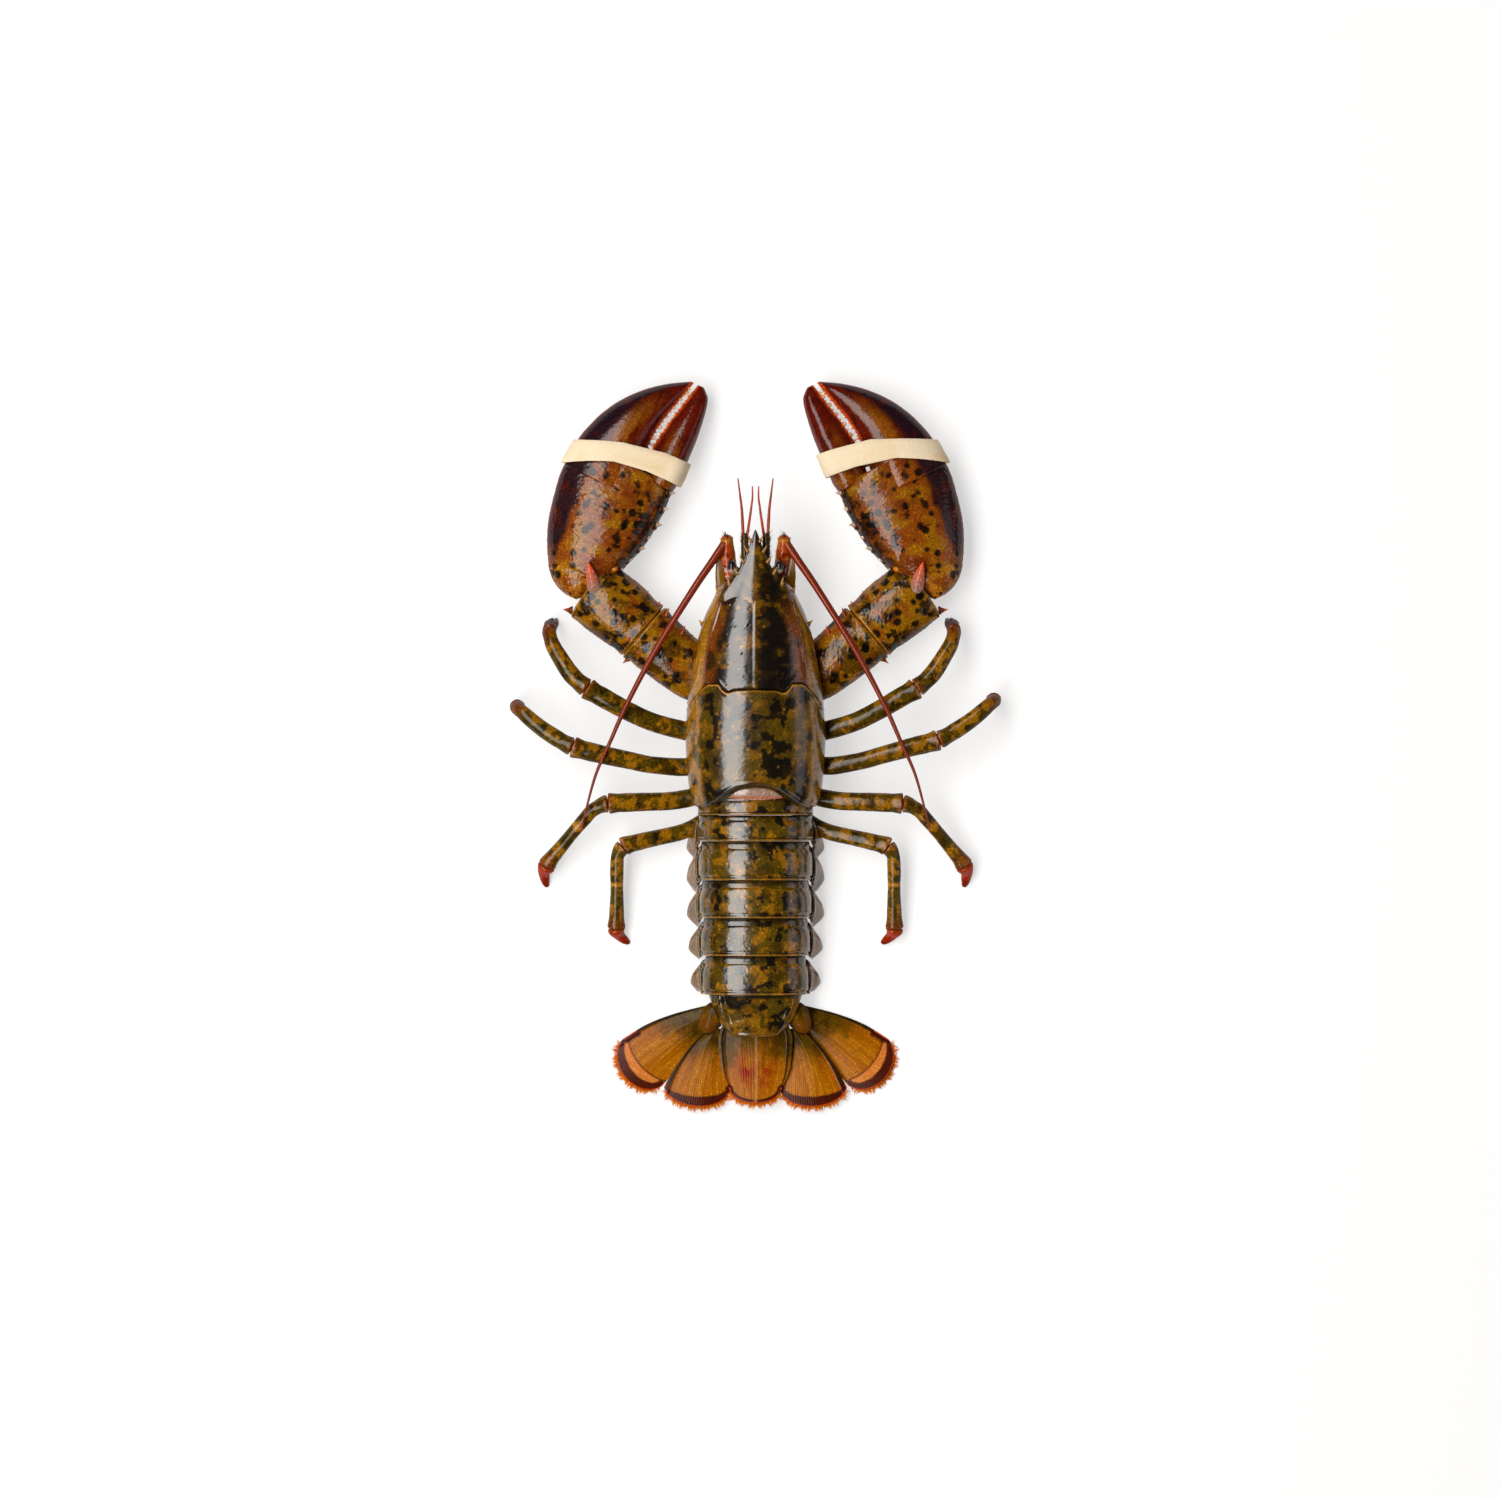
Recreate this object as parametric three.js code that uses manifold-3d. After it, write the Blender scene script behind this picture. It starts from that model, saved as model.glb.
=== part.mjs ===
// An American lobster with banded claws, lying flat with its legs spread, at life size.
// Millimetres, +Z up, +Y towards the head, origin on the floor under the middle of the outline.
// Each sub-part is a closed surface worked out from named sizes, joined and cut as a solid.
import * as THREE from 'three';
import { mergeVertices } from 'three/addons/utils/BufferGeometryUtils.js';
import Module from 'manifold-3d';

const wasm = await Module();
wasm.setup();

// Driving dimensions
const GAP = 0.3;
const FLOOR = 0;
const SHELL_FRONT = 73;
const ROSTRUM_FRONT = 94.2;
const CLAW_JOINT = [-69.3, 69.7];
const CLAW_ANGLE = 64.1;
const CLAW_LENGTH = 99.7;
const CLAW_MID_HEIGHT = 12.6;
const BAND_CLEARANCE = 0.8;
const BAND_THICKNESS = 1.2;
const LEFT = -1;
const RIGHT = 1;
const SIDES = [['left', LEFT], ['right', RIGHT]];

// Colours and finishes of the shell
const finishes = {
  head: { color: 0x4a3414, roughness: 0.3 },
  shell: { color: 0x5a4a16, roughness: 0.32 },
  claw: { color: 0x5c2c10, roughness: 0.3 },
  fin: { color: 0xa2641a, roughness: 0.4 },
  feeler: { color: 0x6e1c0c, roughness: 0.45 },
  eye: { color: 0x0c080c, roughness: 0.12 },
  band: { color: 0xe8d3a6, roughness: 0.7 },
  toe: { color: 0x8a2a10, roughness: 0.4 },
};
const materials = Object.fromEntries(Object.entries(finishes).map(
  ([name, finish]) => [name, new THREE.MeshStandardMaterial({ ...finish, metalness: 0 })],
));

const lobster = new THREE.Group();
const degrees = (a) => (a * Math.PI) / 180;
const mix = (a, b, t) => a + (b - a) * t;

// A smooth curve through [position, value] keys that never overshoots: cubic pieces whose slope
// at a key is the harmonic mean of the slopes on its two sides, or none where they differ in sign.
function curve(keys) {
  const last = keys.length - 1;
  const rise = keys.slice(1).map(([t, v], i) => (v - keys[i][1]) / (t - keys[i][0]));
  const slope = keys.map((key, i) => {
    if (i === 0) return rise[0];
    if (i === last) return rise[last - 1];
    const [a, b] = [rise[i - 1], rise[i]];
    return a * b <= 0 ? 0 : (2 * a * b) / (a + b);
  });
  return (t) => {
    if (t <= keys[0][0]) return keys[0][1];
    if (t >= keys[last][0]) return keys[last][1];
    let i = 0;
    while (t > keys[i + 1][0]) i += 1;
    const width = keys[i + 1][0] - keys[i][0];
    const u = (t - keys[i][0]) / width;
    const [u2, u3] = [u * u, u * u * u];
    return (2 * u3 - 3 * u2 + 1) * keys[i][1] + (u3 - 2 * u2 + u) * width * slope[i]
      + (3 * u2 - 2 * u3) * keys[i + 1][1] + (u3 - u2) * width * slope[i + 1];
  };
}

// A closed mesh as a solid, turned right way out.
function solidOf(points, triangles) {
  let volume = 0;
  for (const [a, b, c] of triangles) {
    const [p, q, r] = [points[a], points[b], points[c]];
    volume += p[0] * (q[1] * r[2] - q[2] * r[1]) - p[1] * (q[0] * r[2] - q[2] * r[0])
      + p[2] * (q[0] * r[1] - q[1] * r[0]);
  }
  const outward = volume > 0 ? triangles : triangles.map(([a, b, c]) => [a, c, b]);
  return new wasm.Manifold(new wasm.Mesh({
    numProp: 3,
    vertProperties: new Float32Array(points.flat()),
    triVerts: new Uint32Array(outward.flat()),
  }));
}

// A three.js geometry as a solid.
function solidFromGeometry(geometry) {
  const bare = geometry.clone();
  bare.deleteAttribute('normal');
  bare.deleteAttribute('uv');
  const merged = mergeVertices(bare, 1e-4);
  const flat = merged.attributes.position.array;
  const points = Array.from({ length: flat.length / 3 }, (_, i) => [...flat.slice(3 * i, 3 * i + 3)]);
  const index = merged.index.array;
  const triangles = Array.from({ length: index.length / 3 }, (_, i) => [...index.slice(3 * i, 3 * i + 3)]);
  return solidOf(points, triangles);
}

// The skin over a row of rings with as many points each, closed by a fan at either end.
function loft(rings) {
  const count = rings[0].length;
  const points = rings.flat();
  const triangles = [];
  for (let i = 0; i + 1 < rings.length; i += 1) {
    for (let j = 0; j < count; j += 1) {
      const [a, b] = [i * count + j, i * count + ((j + 1) % count)];
      triangles.push([a, b, b + count], [a, b + count, a + count]);
    }
  }
  const addCap = (ring, first, turned) => {
    const middle = [0, 1, 2].map((k) => ring.reduce((sum, p) => sum + p[k], 0) / count);
    const centre = points.push(middle) - 1;
    for (let j = 0; j < count; j += 1) {
      const [a, b] = [first + j, first + ((j + 1) % count)];
      triangles.push(turned ? [centre, a, b] : [centre, b, a]);
    }
  };
  addCap(rings[0], 0, false);
  addCap(rings[rings.length - 1], (rings.length - 1) * count, true);
  return solidOf(points, triangles);
}

// A ring of rings, closed on itself, as an elastic band is.
function closedLoft(rings) {
  const count = rings[0].length;
  const points = rings.flat();
  const triangles = [];
  rings.forEach((ring, i) => {
    const next = ((i + 1) % rings.length) * count;
    for (let j = 0; j < count; j += 1) {
      const k = (j + 1) % count;
      triangles.push([i * count + j, i * count + k, next + k], [i * count + j, next + k, next + j]);
    }
  });
  return solidOf(points, triangles);
}

// Joins the pieces and keeps the largest closed body.
function fuse(...pieces) {
  const joined = pieces.flat().reduce((whole, piece) => whole.add(piece));
  return joined.decompose().reduce((a, b) => (b.volume() > a.volume() ? b : a));
}

// Cuts the cutters out of a piece and keeps the largest closed body.
function clear(piece, ...cutters) {
  return fuse(cutters.flat().reduce((rest, cutter) => rest.subtract(cutter), piece));
}

const belowFloor = solidFromGeometry(new THREE.BoxGeometry(600, 600, 60).translate(0, 0, FLOOR - 30));

// A cone that stands on a surface point, sunk a little way in, and leans along a direction.
function spine(base, direction, length, radius, faces = 5) {
  const sunk = Math.min(1.2, 0.4 * length);
  const along = new THREE.Vector3(...direction).normalize();
  const cone = new THREE.ConeGeometry(radius, length + sunk, faces);
  const turn = new THREE.Quaternion().setFromUnitVectors(new THREE.Vector3(0, 1, 0), along);
  cone.applyQuaternion(turn);
  const middle = new THREE.Vector3(...base).addScaledVector(along, (length - sunk) / 2);
  cone.translate(middle.x, middle.y, middle.z);
  return solidFromGeometry(cone);
}

// A low round tooth.
function bump([x, y, z], radius, lift = 1) {
  return solidFromGeometry(new THREE.SphereGeometry(radius, 5, 3).scale(1, 1, lift).translate(x, y, z));
}

function addPart(name, solid, finish) {
  const mesh = solid.getMesh();
  const width = mesh.numProp;
  const position = new Float32Array(mesh.numVert * 3);
  for (let i = 0; i < mesh.numVert; i += 1) {
    position.set(mesh.vertProperties.subarray(i * width, i * width + 3), i * 3);
  }
  const geometry = new THREE.BufferGeometry();
  geometry.setAttribute('position', new THREE.BufferAttribute(position, 3));
  geometry.setIndex(new THREE.BufferAttribute(new Uint32Array(mesh.triVerts), 1));
  geometry.computeVertexNormals();
  const part = new THREE.Mesh(geometry, materials[finish]);
  part.name = name;
  lobster.add(part);
}

// Shell of the head and thorax. Its outline across the body at a station y runs from the crest
// (0 degrees) by the widest level (90) to the middle of the belly (180).
const shellHalfWidth = curve([
  [-27, 26.6], [-22, 28.6], [-15, 29.7], [-6, 30.4], [3, 30.8], [20, 29.7], [38, 27.0], [50, 24.4],
  [57.4, 22.0], [64, 18.8], [69, 16.4], [71.6, 14.4], [SHELL_FRONT, 12],
]);
const shellCrest = curve([
  [-27, 40.5], [-16, 43.4], [0, 46.2], [15, 47], [30, 46.4], [45, 44.8], [58, 42.2], [67, 39.8],
  [SHELL_FRONT, 36],
]);
const shellWidest = curve([[-27, 21], [0, 23], [30, 24], [50, 25.5], [65, 26.5], [SHELL_FRONT, 27]]);
const shellBelly = curve([[-27, 8], [0, 6.2], [24, 6.4], [40, 7.5], [55, 10], [64, 14], [SHELL_FRONT, 19]]);
const BELLY_OUT = curve([
  [90, 1], [103, 0.985], [117, 0.93], [129, 0.83], [134, 0.7], [150, 0.5], [165, 0.28], [180, 0],
]);
const BELLY_DOWN = curve([
  [90, 0], [103, 0.3], [117, 0.56], [129, 0.74], [134, 0.76], [150, 0.9], [165, 0.98], [180, 1],
]);
const ROUNDING = 0.92;
const SHELL_ANGLES = [0, 15, 23, 28, 33, 43, 56, 73, 90, 104, 118, 129, 134, 155, 180];

// Where the cervical groove parts head from thorax, and where the shell ends over the tail.
const grooveStation = curve([
  [0, 24.4], [15, 24.2], [23, 23.2], [28, 24.6], [33, 27], [43, 27], [50, 25.5], [62, 21], [75, 17.5],
  [90, 17], [115, 22], [135, 30], [180, 34],
]);
const rearStation = curve([
  [0, -16.8], [15, -18], [30, -21.8], [45, -25.3], [60, -27], [90, -26.5], [120, -23], [150, -20], [180, -20],
]);

function shellPoint(y, angle, side, grow) {
  const half = shellHalfWidth(y) + grow;
  const widest = shellWidest(y);
  if (angle <= 90) {
    const rise = shellCrest(y) + grow - widest;
    const [out, up] = [Math.sin(degrees(angle)), Math.cos(degrees(angle))];
    return [side * half * out ** ROUNDING, y, widest + rise * up ** ROUNDING];
  }
  const drop = widest - shellBelly(y) + grow;
  return [side * half * BELLY_OUT(angle), y, widest - drop * BELLY_DOWN(angle)];
}

function shellRing(stationAt, grow) {
  const right = SHELL_ANGLES.map((angle) => shellPoint(stationAt(angle), angle, RIGHT, grow));
  const back = SHELL_ANGLES.slice(1, -1).reverse();
  return [...right, ...back.map((angle) => shellPoint(stationAt(angle), angle, LEFT, grow))];
}

function shellBetween(rear, front, rows, grow) {
  const steps = Array.from({ length: rows + 1 }, (_, i) => i / rows);
  return loft(steps.map((t) => shellRing((angle) => mix(rear(angle) - grow, front(angle) + grow, t), grow)));
}

// Rostrum: a flat blade with a low crest and a raised rim, wide where it leaves the shell.
const rostrumHalfWidth = curve([
  [56, 16.6], [62, 16.6], [66, 15.4], [69, 13.4], [72, 11], [76, 8.2], [80, 6], [84, 4.2], [88, 2.6],
  [92, 1.2], [ROSTRUM_FRONT, 0.3],
]);
const rostrumCrest = curve([[56, 42], [62, 41.4], [68, 40.6], [74, 40], [84, 39.6], [ROSTRUM_FRONT, 39.6]]);
const rostrumRim = curve([[56, 35.5], [66, 37], [74, 37.8], [84, 38.6], [ROSTRUM_FRONT, 39.3]]);
const rostrumUnder = curve([[56, 32], [72, 33.6], [80, 35.4], [88, 37.2], [ROSTRUM_FRONT, 38.9]]);
const ROSTRUM_STATIONS = [56, 61, 66, 70, 74, 78, 82, 86.5, 91, ROSTRUM_FRONT];

function rostrumRing(y) {
  const [half, crest, rim, under] = [rostrumHalfWidth(y), rostrumCrest(y), rostrumRim(y), rostrumUnder(y)];
  const profile = [
    [0.48, mix(rim, crest, 0.66)], [0.8, mix(rim, crest, 0.3)], [0.92, rim + 0.22 * (rim - under)],
    [1, rim], [0.62, mix(rim, under, 0.7)],
  ];
  return [[0, y, crest], ...profile.map(([out, z]) => [half * out, y, z]), [0, y, under],
    ...profile.toReversed().map(([out, z]) => [-half * out, y, z])];
}

const ROSTRUM_TEETH = [[89.5, 2.6], [85, 3.2], [80.5, 3.4], [75.5, 3.2]];
const CHEEK_SPINES = [[-23.4, 53.6, 27, [-0.75, 0.65, 0.1], 2.4], [-16.2, 66.4, 30, [-0.35, 0.93, 0.1], 4.4],
  [-11.4, 70.6, 37.2, [-0.25, 0.95, 0.2], 3.4]];

function makeHead(grow) {
  const front = () => SHELL_FRONT;
  const shell = shellBetween((angle) => grooveStation(angle) + GAP / 2, front, 8, grow);
  if (grow) return shell;
  const rostrum = loft(ROSTRUM_STATIONS.map(rostrumRing));
  const teeth = SIDES.flatMap(([, side]) => ROSTRUM_TEETH.map(([y, length]) => spine(
    [side * 0.94 * rostrumHalfWidth(y), y, rostrumRim(y)], [side * 0.5, 0.85, 0.22], length, 0.85,
  )));
  const cheeks = SIDES.flatMap(([, side]) => CHEEK_SPINES.map(([x, y, z, [dx, dy, dz], length]) => spine(
    [-side * x, y, z], [-side * dx, dy, dz], length, 1.1,
  )));
  const jaws = SIDES.map(([, side]) => solidFromGeometry(
    new THREE.SphereGeometry(1, 6, 4).scale(3.4, 5, 3.2).translate(side * 3.6, 56, 10.4),
  ));
  return fuse(shell, rostrum, teeth, cheeks, jaws);
}

// Hip lumps under the thorax, one where each claw arm and leg begins: centre and half sizes.
const HIPS = [
  [-15.5, 22, 9.6, 6.4, 5.6, 5.6], [-16.5, 4.6, 8.8, 5.2, 4.4, 4.8], [-16.5, -6.2, 8.8, 5.2, 4.4, 4.8],
  [-15, -14.6, 8.4, 4.8, 3.8, 4.4], [-11, -19.6, 7.6, 4.2, 3, 3.6],
];
const HIP_GROWTH = 1.4;

function makeHip([x, y, z, ...half], side, grow) {
  const lump = new THREE.SphereGeometry(1, 6, 4);
  lump.scale(...half.map((size) => size + HIP_GROWTH * grow));
  lump.translate(-side * x, y, z);
  return solidFromGeometry(lump);
}

function makeThorax(grow) {
  const shell = shellBetween(rearStation, (angle) => grooveStation(angle) - GAP / 2, 6, grow);
  return fuse(shell, SIDES.flatMap(([, side]) => HIPS.map((hip) => makeHip(hip, side, grow))));
}

const body = [makeHead(GAP), makeThorax(GAP)];

// A limb: a skin over stations, each a point with a half width (level) and a half height (upright).
// cuts lists the stations where one length ends and the next begins, with the share of the size that
// the next length starts with.
function limb(stations, cuts = [], { faces = 8, grow = 0 } = {}) {
  const at = stations.map(([x, y, z]) => new THREE.Vector3(x, y, z));
  const up = new THREE.Vector3(0, 0, 1);
  let across = null;
  const frames = stations.map((station, i) => {
    const before = i ? at[i].clone().sub(at[i - 1]).normalize() : new THREE.Vector3();
    const after = i + 1 < at.length ? at[i + 1].clone().sub(at[i]).normalize() : new THREE.Vector3();
    const along = before.add(after).normalize();
    const level = along.clone().cross(up);
    if (level.length() > 0.35 || !across) across = level.normalize();
    else across = across.clone().addScaledVector(along, -across.dot(along)).normalize();
    return { along, across: across.clone(), over: across.clone().cross(along).normalize() };
  });
  const ring = (i, share, shift) => {
    const { along, across: wide, over } = frames[i];
    const [, , , half, rise] = stations[i];
    return Array.from({ length: faces }, (_, j) => {
      const turn = degrees((360 * (j + 0.5)) / faces);
      const point = at[i].clone().addScaledVector(along, shift)
        .addScaledVector(wide, (half * share + grow) * Math.cos(turn))
        .addScaledVector(over, (rise * share + grow) * Math.sin(turn));
      return point.toArray();
    });
  };
  const solids = [];
  let rings = [ring(0, 1, -grow)];
  for (let i = 1; i < stations.length; i += 1) {
    const cut = cuts.find(([index]) => index === i);
    const end = i === stations.length - 1;
    rings.push(ring(i, 1, end || cut ? grow - (cut ? GAP / 2 : 0) : 0));
    if (cut || end) solids.push(loft(rings));
    if (cut) rings = [ring(i, cut[1], GAP / 2 - grow)];
  }
  return solids;
}

// Turns a left-side list of stations into one for either side.
const onSide = (side, stations) => stations.map(([x, ...rest]) => [-side * x, ...rest]);

// Claw arm: the upper arm leaves the flank under the shell, and the wrist carries the claw.
const UPPER_ARM = [[-13, 21, 10.5, 6.5, 5], [-20, 26, 11.5, 9.5, 6.4], [-28.5, 32.6, 13, 12.2, 8.4],
  [-39, 41.2, 14, 13.2, 9.6], [-49.5, 50.4, 14, 14, 10.2]];
const WRIST = [[-60.5, 59.6, 13.8, 14.9, 10.9], [-68.5, 65.6, 13.5, 15, 10.6], [-73, 69, 13, 14, 8.8]];
const UPPER_ARM_SPINES = [
  [-33, 47.6, 19, [0.35, 0.9, 0.35], 6, 2], [-39.6, 56.6, 18.4, [0.35, 0.9, 0.3], 4.6, 1.7],
  [-56.4, 38, 14, [-0.7, -0.6, 0.1], 3, 1.3],
];
const WRIST_SPINES = [
  [-43.8, 60, 17, [0.45, 0.85, 0.2], 4.2, 1.6], [-48.6, 64.6, 16, [0.4, 0.9, 0.2], 4, 1.5],
  [-52.6, 68, 15, [0.35, 0.9, 0.2], 4, 1.5], [-81.6, 59.6, 14, [-0.85, 0.1, 0.1], 3.4, 1.7],
];
const THORN = [[-70.6, 68.6, 20.6], [-3.4, 14, 8], 16.4, 3.4];

function makeArm(side, grow = 0) {
  const [upper, wrist] = limb(onSide(side, [...UPPER_ARM, ...WRIST]), [[4, 0.96]], { faces: 12, grow });
  const dress = (solid, spines) => fuse(solid, spines.map(([x, y, z, [dx, dy, dz], length, radius]) => spine(
    [-side * x, y, z], [-side * dx, dy, dz], length, radius,
  )));
  const [[tx, ty, tz], [dx, dy, dz], length, radius] = THORN;
  const thorn = spine([-side * tx, ty, tz], [-side * dx, dy, dz], length + 2 * grow, radius + 1.5 * grow, 8);
  return [dress(upper, UPPER_ARM_SPINES), fuse(dress(wrist, WRIST_SPINES), thorn)];
}

// Claw: s runs from the wrist to the tip and q outwards across it.
const clawOuter = curve([
  [-9, 11.4], [-8.2, 15], [-3.7, 21.7], [7.9, 29], [16.3, 32.5], [28.3, 35.4], [40.1, 37.2], [54.7, 36.6],
  [65.9, 33.8], [74.7, 29.8], [81.7, 25.1], [86.4, 21], [92.7, 14], [97, 7.6], [98.7, 4.6], [CLAW_LENGTH, 3],
]);
const palmInner = curve([
  [-9, 6.4], [-4, 2.5], [3, -2], [9.8, -5.6], [15, -7.2], [20, -8.8], [27, -10.4], [36, -11.3], [44, -11.4],
  [50, -10.6], [53, -8], [55, -3],
]);
const fingerInner = curve([[38, 4], [53, 5.6], [66, 7.4], [72, 7.4], [79, 6.5], [88, 4.4], [CLAW_LENGTH, 1.7]]);
const clawHalfHeight = curve([
  [-9, 4.6], [-4, 7.6], [3, 10], [12, 12], [25, 13], [35, 12.3], [45, 10.9], [55, 10], [65, 9.4], [75, 8.1],
  [88, 5.6], [95, 3.6], [CLAW_LENGTH, 1.2],
]);
const thumbOuter = curve([
  [46, -10.2], [52, -10.9], [57, -11.7], [68, -11.2], [75, -10.8], [83, -9.9], [91, -8.5], [96, -7], [98.6, -4.6],
  [CLAW_LENGTH, -3.2],
]);
const thumbInner = curve([[46, 3.6], [53, 3.9], [60, 4.9], [66, 5.3], [78, 3.8], [87, 2.1], [CLAW_LENGTH, -0.4]]);
const thumbHalfHeight = curve([[46, 7], [54, 8.6], [62, 8.8], [75, 7.2], [88, 5], [96, 3], [CLAW_LENGTH, 1.1]]);
const clawLevel = curve([[-9, 13.2], [10, CLAW_MID_HEIGHT], [52, CLAW_MID_HEIGHT], [75, 11.4], [CLAW_LENGTH, 8.6]]);
const OUTER_THINNING = 0.22;
const PALM_END = 54.4;
const PALM_STATIONS = [-9, -7.5, -4, 1, 7, 15, 25, 36, 46, 52, PALM_END];
const FINGER_STATIONS = [47, 54.2, 62, 70, 77, 83, 88, 92.5, 96, 98.2, CLAW_LENGTH];
const FINGER_SUNK_BY = 0.35;
const THUMB_STATIONS = [47, 52, 58, 65, 72, 79, 85, 90, 94.5, 97.6, CLAW_LENGTH];
const PALM_SPINES = [
  [51, -9.6, 3.4], [43.4, -10.2, 3], [35.7, -10.4, 3.6], [29, -9.2, 2.6], [23.2, -8.2, 3.8],
  [16.8, -6, 3], [11, -3.8, 2.8],
];
const PALM_SPINE_RADIUS = 2.1;
const PALM_SPINE_AIM = [1.6, -4, 1.6];
const PALM_SPINE_RISE = 3.4;
const FINGER_TEETH = [59, 64.5, 70, 75.5, 81, 86, 90.5, 94.5];
const THUMB_TEETH = [61.5, 67, 72.5, 78, 83.5, 88.5, 93];

// A point of the claw, from s, q and a height, at its place on one side.
function clawPlace(side, s, q, z) {
  const [cosine, sine] = [Math.cos(degrees(CLAW_ANGLE)), Math.sin(degrees(CLAW_ANGLE))];
  const x = CLAW_JOINT[0] + s * cosine - q * sine;
  return [-side * x, CLAW_JOINT[1] + s * sine + q * cosine, z];
}

// The stations before sunkTo lie a little inside the surface, so that a finger leaves the palm
// cleanly.
function clawLoft(side, stations, outer, inner, halfHeight, grow, sunkTo = -Infinity) {
  const faces = 14;
  const last = stations.length - 1;
  return loft(stations.map((s, i) => {
    const shift = (i === 0 ? -grow : 0) + (i === last ? grow : 0);
    const middle = (outer(s) + inner(s)) / 2;
    const swell = s < sunkTo ? grow - FINGER_SUNK_BY : grow;
    const half = (outer(s) - inner(s)) / 2 + swell;
    return Array.from({ length: faces }, (_, j) => {
      const turn = degrees((360 * j) / faces);
      const out = Math.sign(Math.cos(turn)) * Math.abs(Math.cos(turn)) ** 0.94;
      const rise = Math.sign(Math.sin(turn)) * Math.abs(Math.sin(turn)) ** 0.94;
      const height = (halfHeight(s) + swell) * (1 - OUTER_THINNING * out);
      return clawPlace(side, s + shift, middle + half * out, clawLevel(s) + height * rise);
    });
  }));
}

function makePalm(side, grow = 0) {
  const palm = clawLoft(side, PALM_STATIONS, clawOuter, palmInner, clawHalfHeight, grow);
  const finger = clawLoft(side, FINGER_STATIONS, clawOuter, fingerInner, clawHalfHeight, grow, PALM_END);
  const teeth = FINGER_TEETH.map((s) => bump(
    clawPlace(side, s, fingerInner(s) - 0.1, clawLevel(s)), 1.15 + grow, 1.2,
  ));
  const spines = PALM_SPINES.map(([s, q, length]) => {
    const [aimS, aimQ, aimZ] = PALM_SPINE_AIM;
    const level = clawLevel(s) + PALM_SPINE_RISE;
    const along = (share) => clawPlace(side, s + aimS * share, q + aimQ * share, level + aimZ * share);
    const [base, tip] = [along(-grow / Math.hypot(aimS, aimQ, aimZ)), along(1)];
    const direction = tip.map((value, k) => value - base[k]);
    return spine(base, direction, length + 3 * grow, PALM_SPINE_RADIUS + 1.5 * grow);
  });
  return fuse(palm, finger, teeth, spines);
}

function makeThumb(side) {
  const thumb = clawLoft(side, THUMB_STATIONS, thumbInner, thumbOuter, thumbHalfHeight, 0);
  const teeth = THUMB_TEETH.map((s) => bump(clawPlace(side, s, thumbInner(s) + 0.1, clawLevel(s)), 1.1, 1.2));
  return fuse(thumb, teeth);
}

// Elastic band: a flat loop drawn tight round both fingers. Its edges follow the photograph's, and
// its outline across the claw is where lines that touch the fingers from outside meet.
const bandRear = curve([[-13, 55.5], [0, 55.2], [12.9, 53.9], [25, 49.4], [38.5, 42.4]]);
const bandFront = curve([[-13, 66.6], [6.3, 65.4], [21, 60.8], [38.5, 53.8]]);
const BAND_SIDES = 24;
const BAND_LEAN = { left: 0, right: 4.4 };

function bandOutline(edge, clearance) {
  const marks = [];
  const addFinger = (outer, inner, halfHeight, q, s) => {
    const out = (q - (outer(s) + inner(s)) / 2) / ((outer(s) - inner(s)) / 2);
    if (Math.abs(out) > 1) return;
    const height = halfHeight(s) * (1 - OUTER_THINNING * out) * (1 - Math.abs(out) ** 2.13) ** 0.47;
    marks.push([q, clawLevel(s) + height], [q, clawLevel(s) - height]);
  };
  for (let q = -14; q < 40; q += 0.4) {
    addFinger(clawOuter, fingerInner, clawHalfHeight, q, edge(q));
    addFinger(thumbInner, thumbOuter, thumbHalfHeight, q, edge(q));
  }
  const touch = (turn) => {
    const reaches = marks.map(([q, z]) => q * Math.cos(turn) + z * Math.sin(turn));
    return Math.max(...reaches) + clearance;
  };
  const step = (2 * Math.PI) / BAND_SIDES;
  return Array.from({ length: BAND_SIDES }, (_, i) => {
    const [a, b] = [i * step, (i + 1) * step];
    const [reachA, reachB] = [touch(a), touch(b)];
    return [(reachA * Math.sin(b) - reachB * Math.sin(a)) / Math.sin(step),
      (reachB * Math.cos(a) - reachA * Math.cos(b)) / Math.sin(step)];
  });
}

function makeBand(name, side) {
  const leanAt = (q) => BAND_LEAN[name] * Math.min(1, Math.max(0, (38 - q) / 50));
  const [rear, front] = [bandRear, bandFront].map((edge) => (q) => edge(q) + leanAt(q));
  const corners = (edge, clearance) => bandOutline(edge, clearance).map(([q, z]) => clawPlace(
    side, edge(q), q, Math.max(z, FLOOR + 0.2),
  ));
  const [near, far] = [BAND_CLEARANCE, BAND_CLEARANCE + BAND_THICKNESS];
  const loops = [corners(rear, near), corners(front, near), corners(front, far), corners(rear, far)];
  return closedLoft(loops[0].map((_, i) => loops.map((loop) => loop[i])));
}

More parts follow.
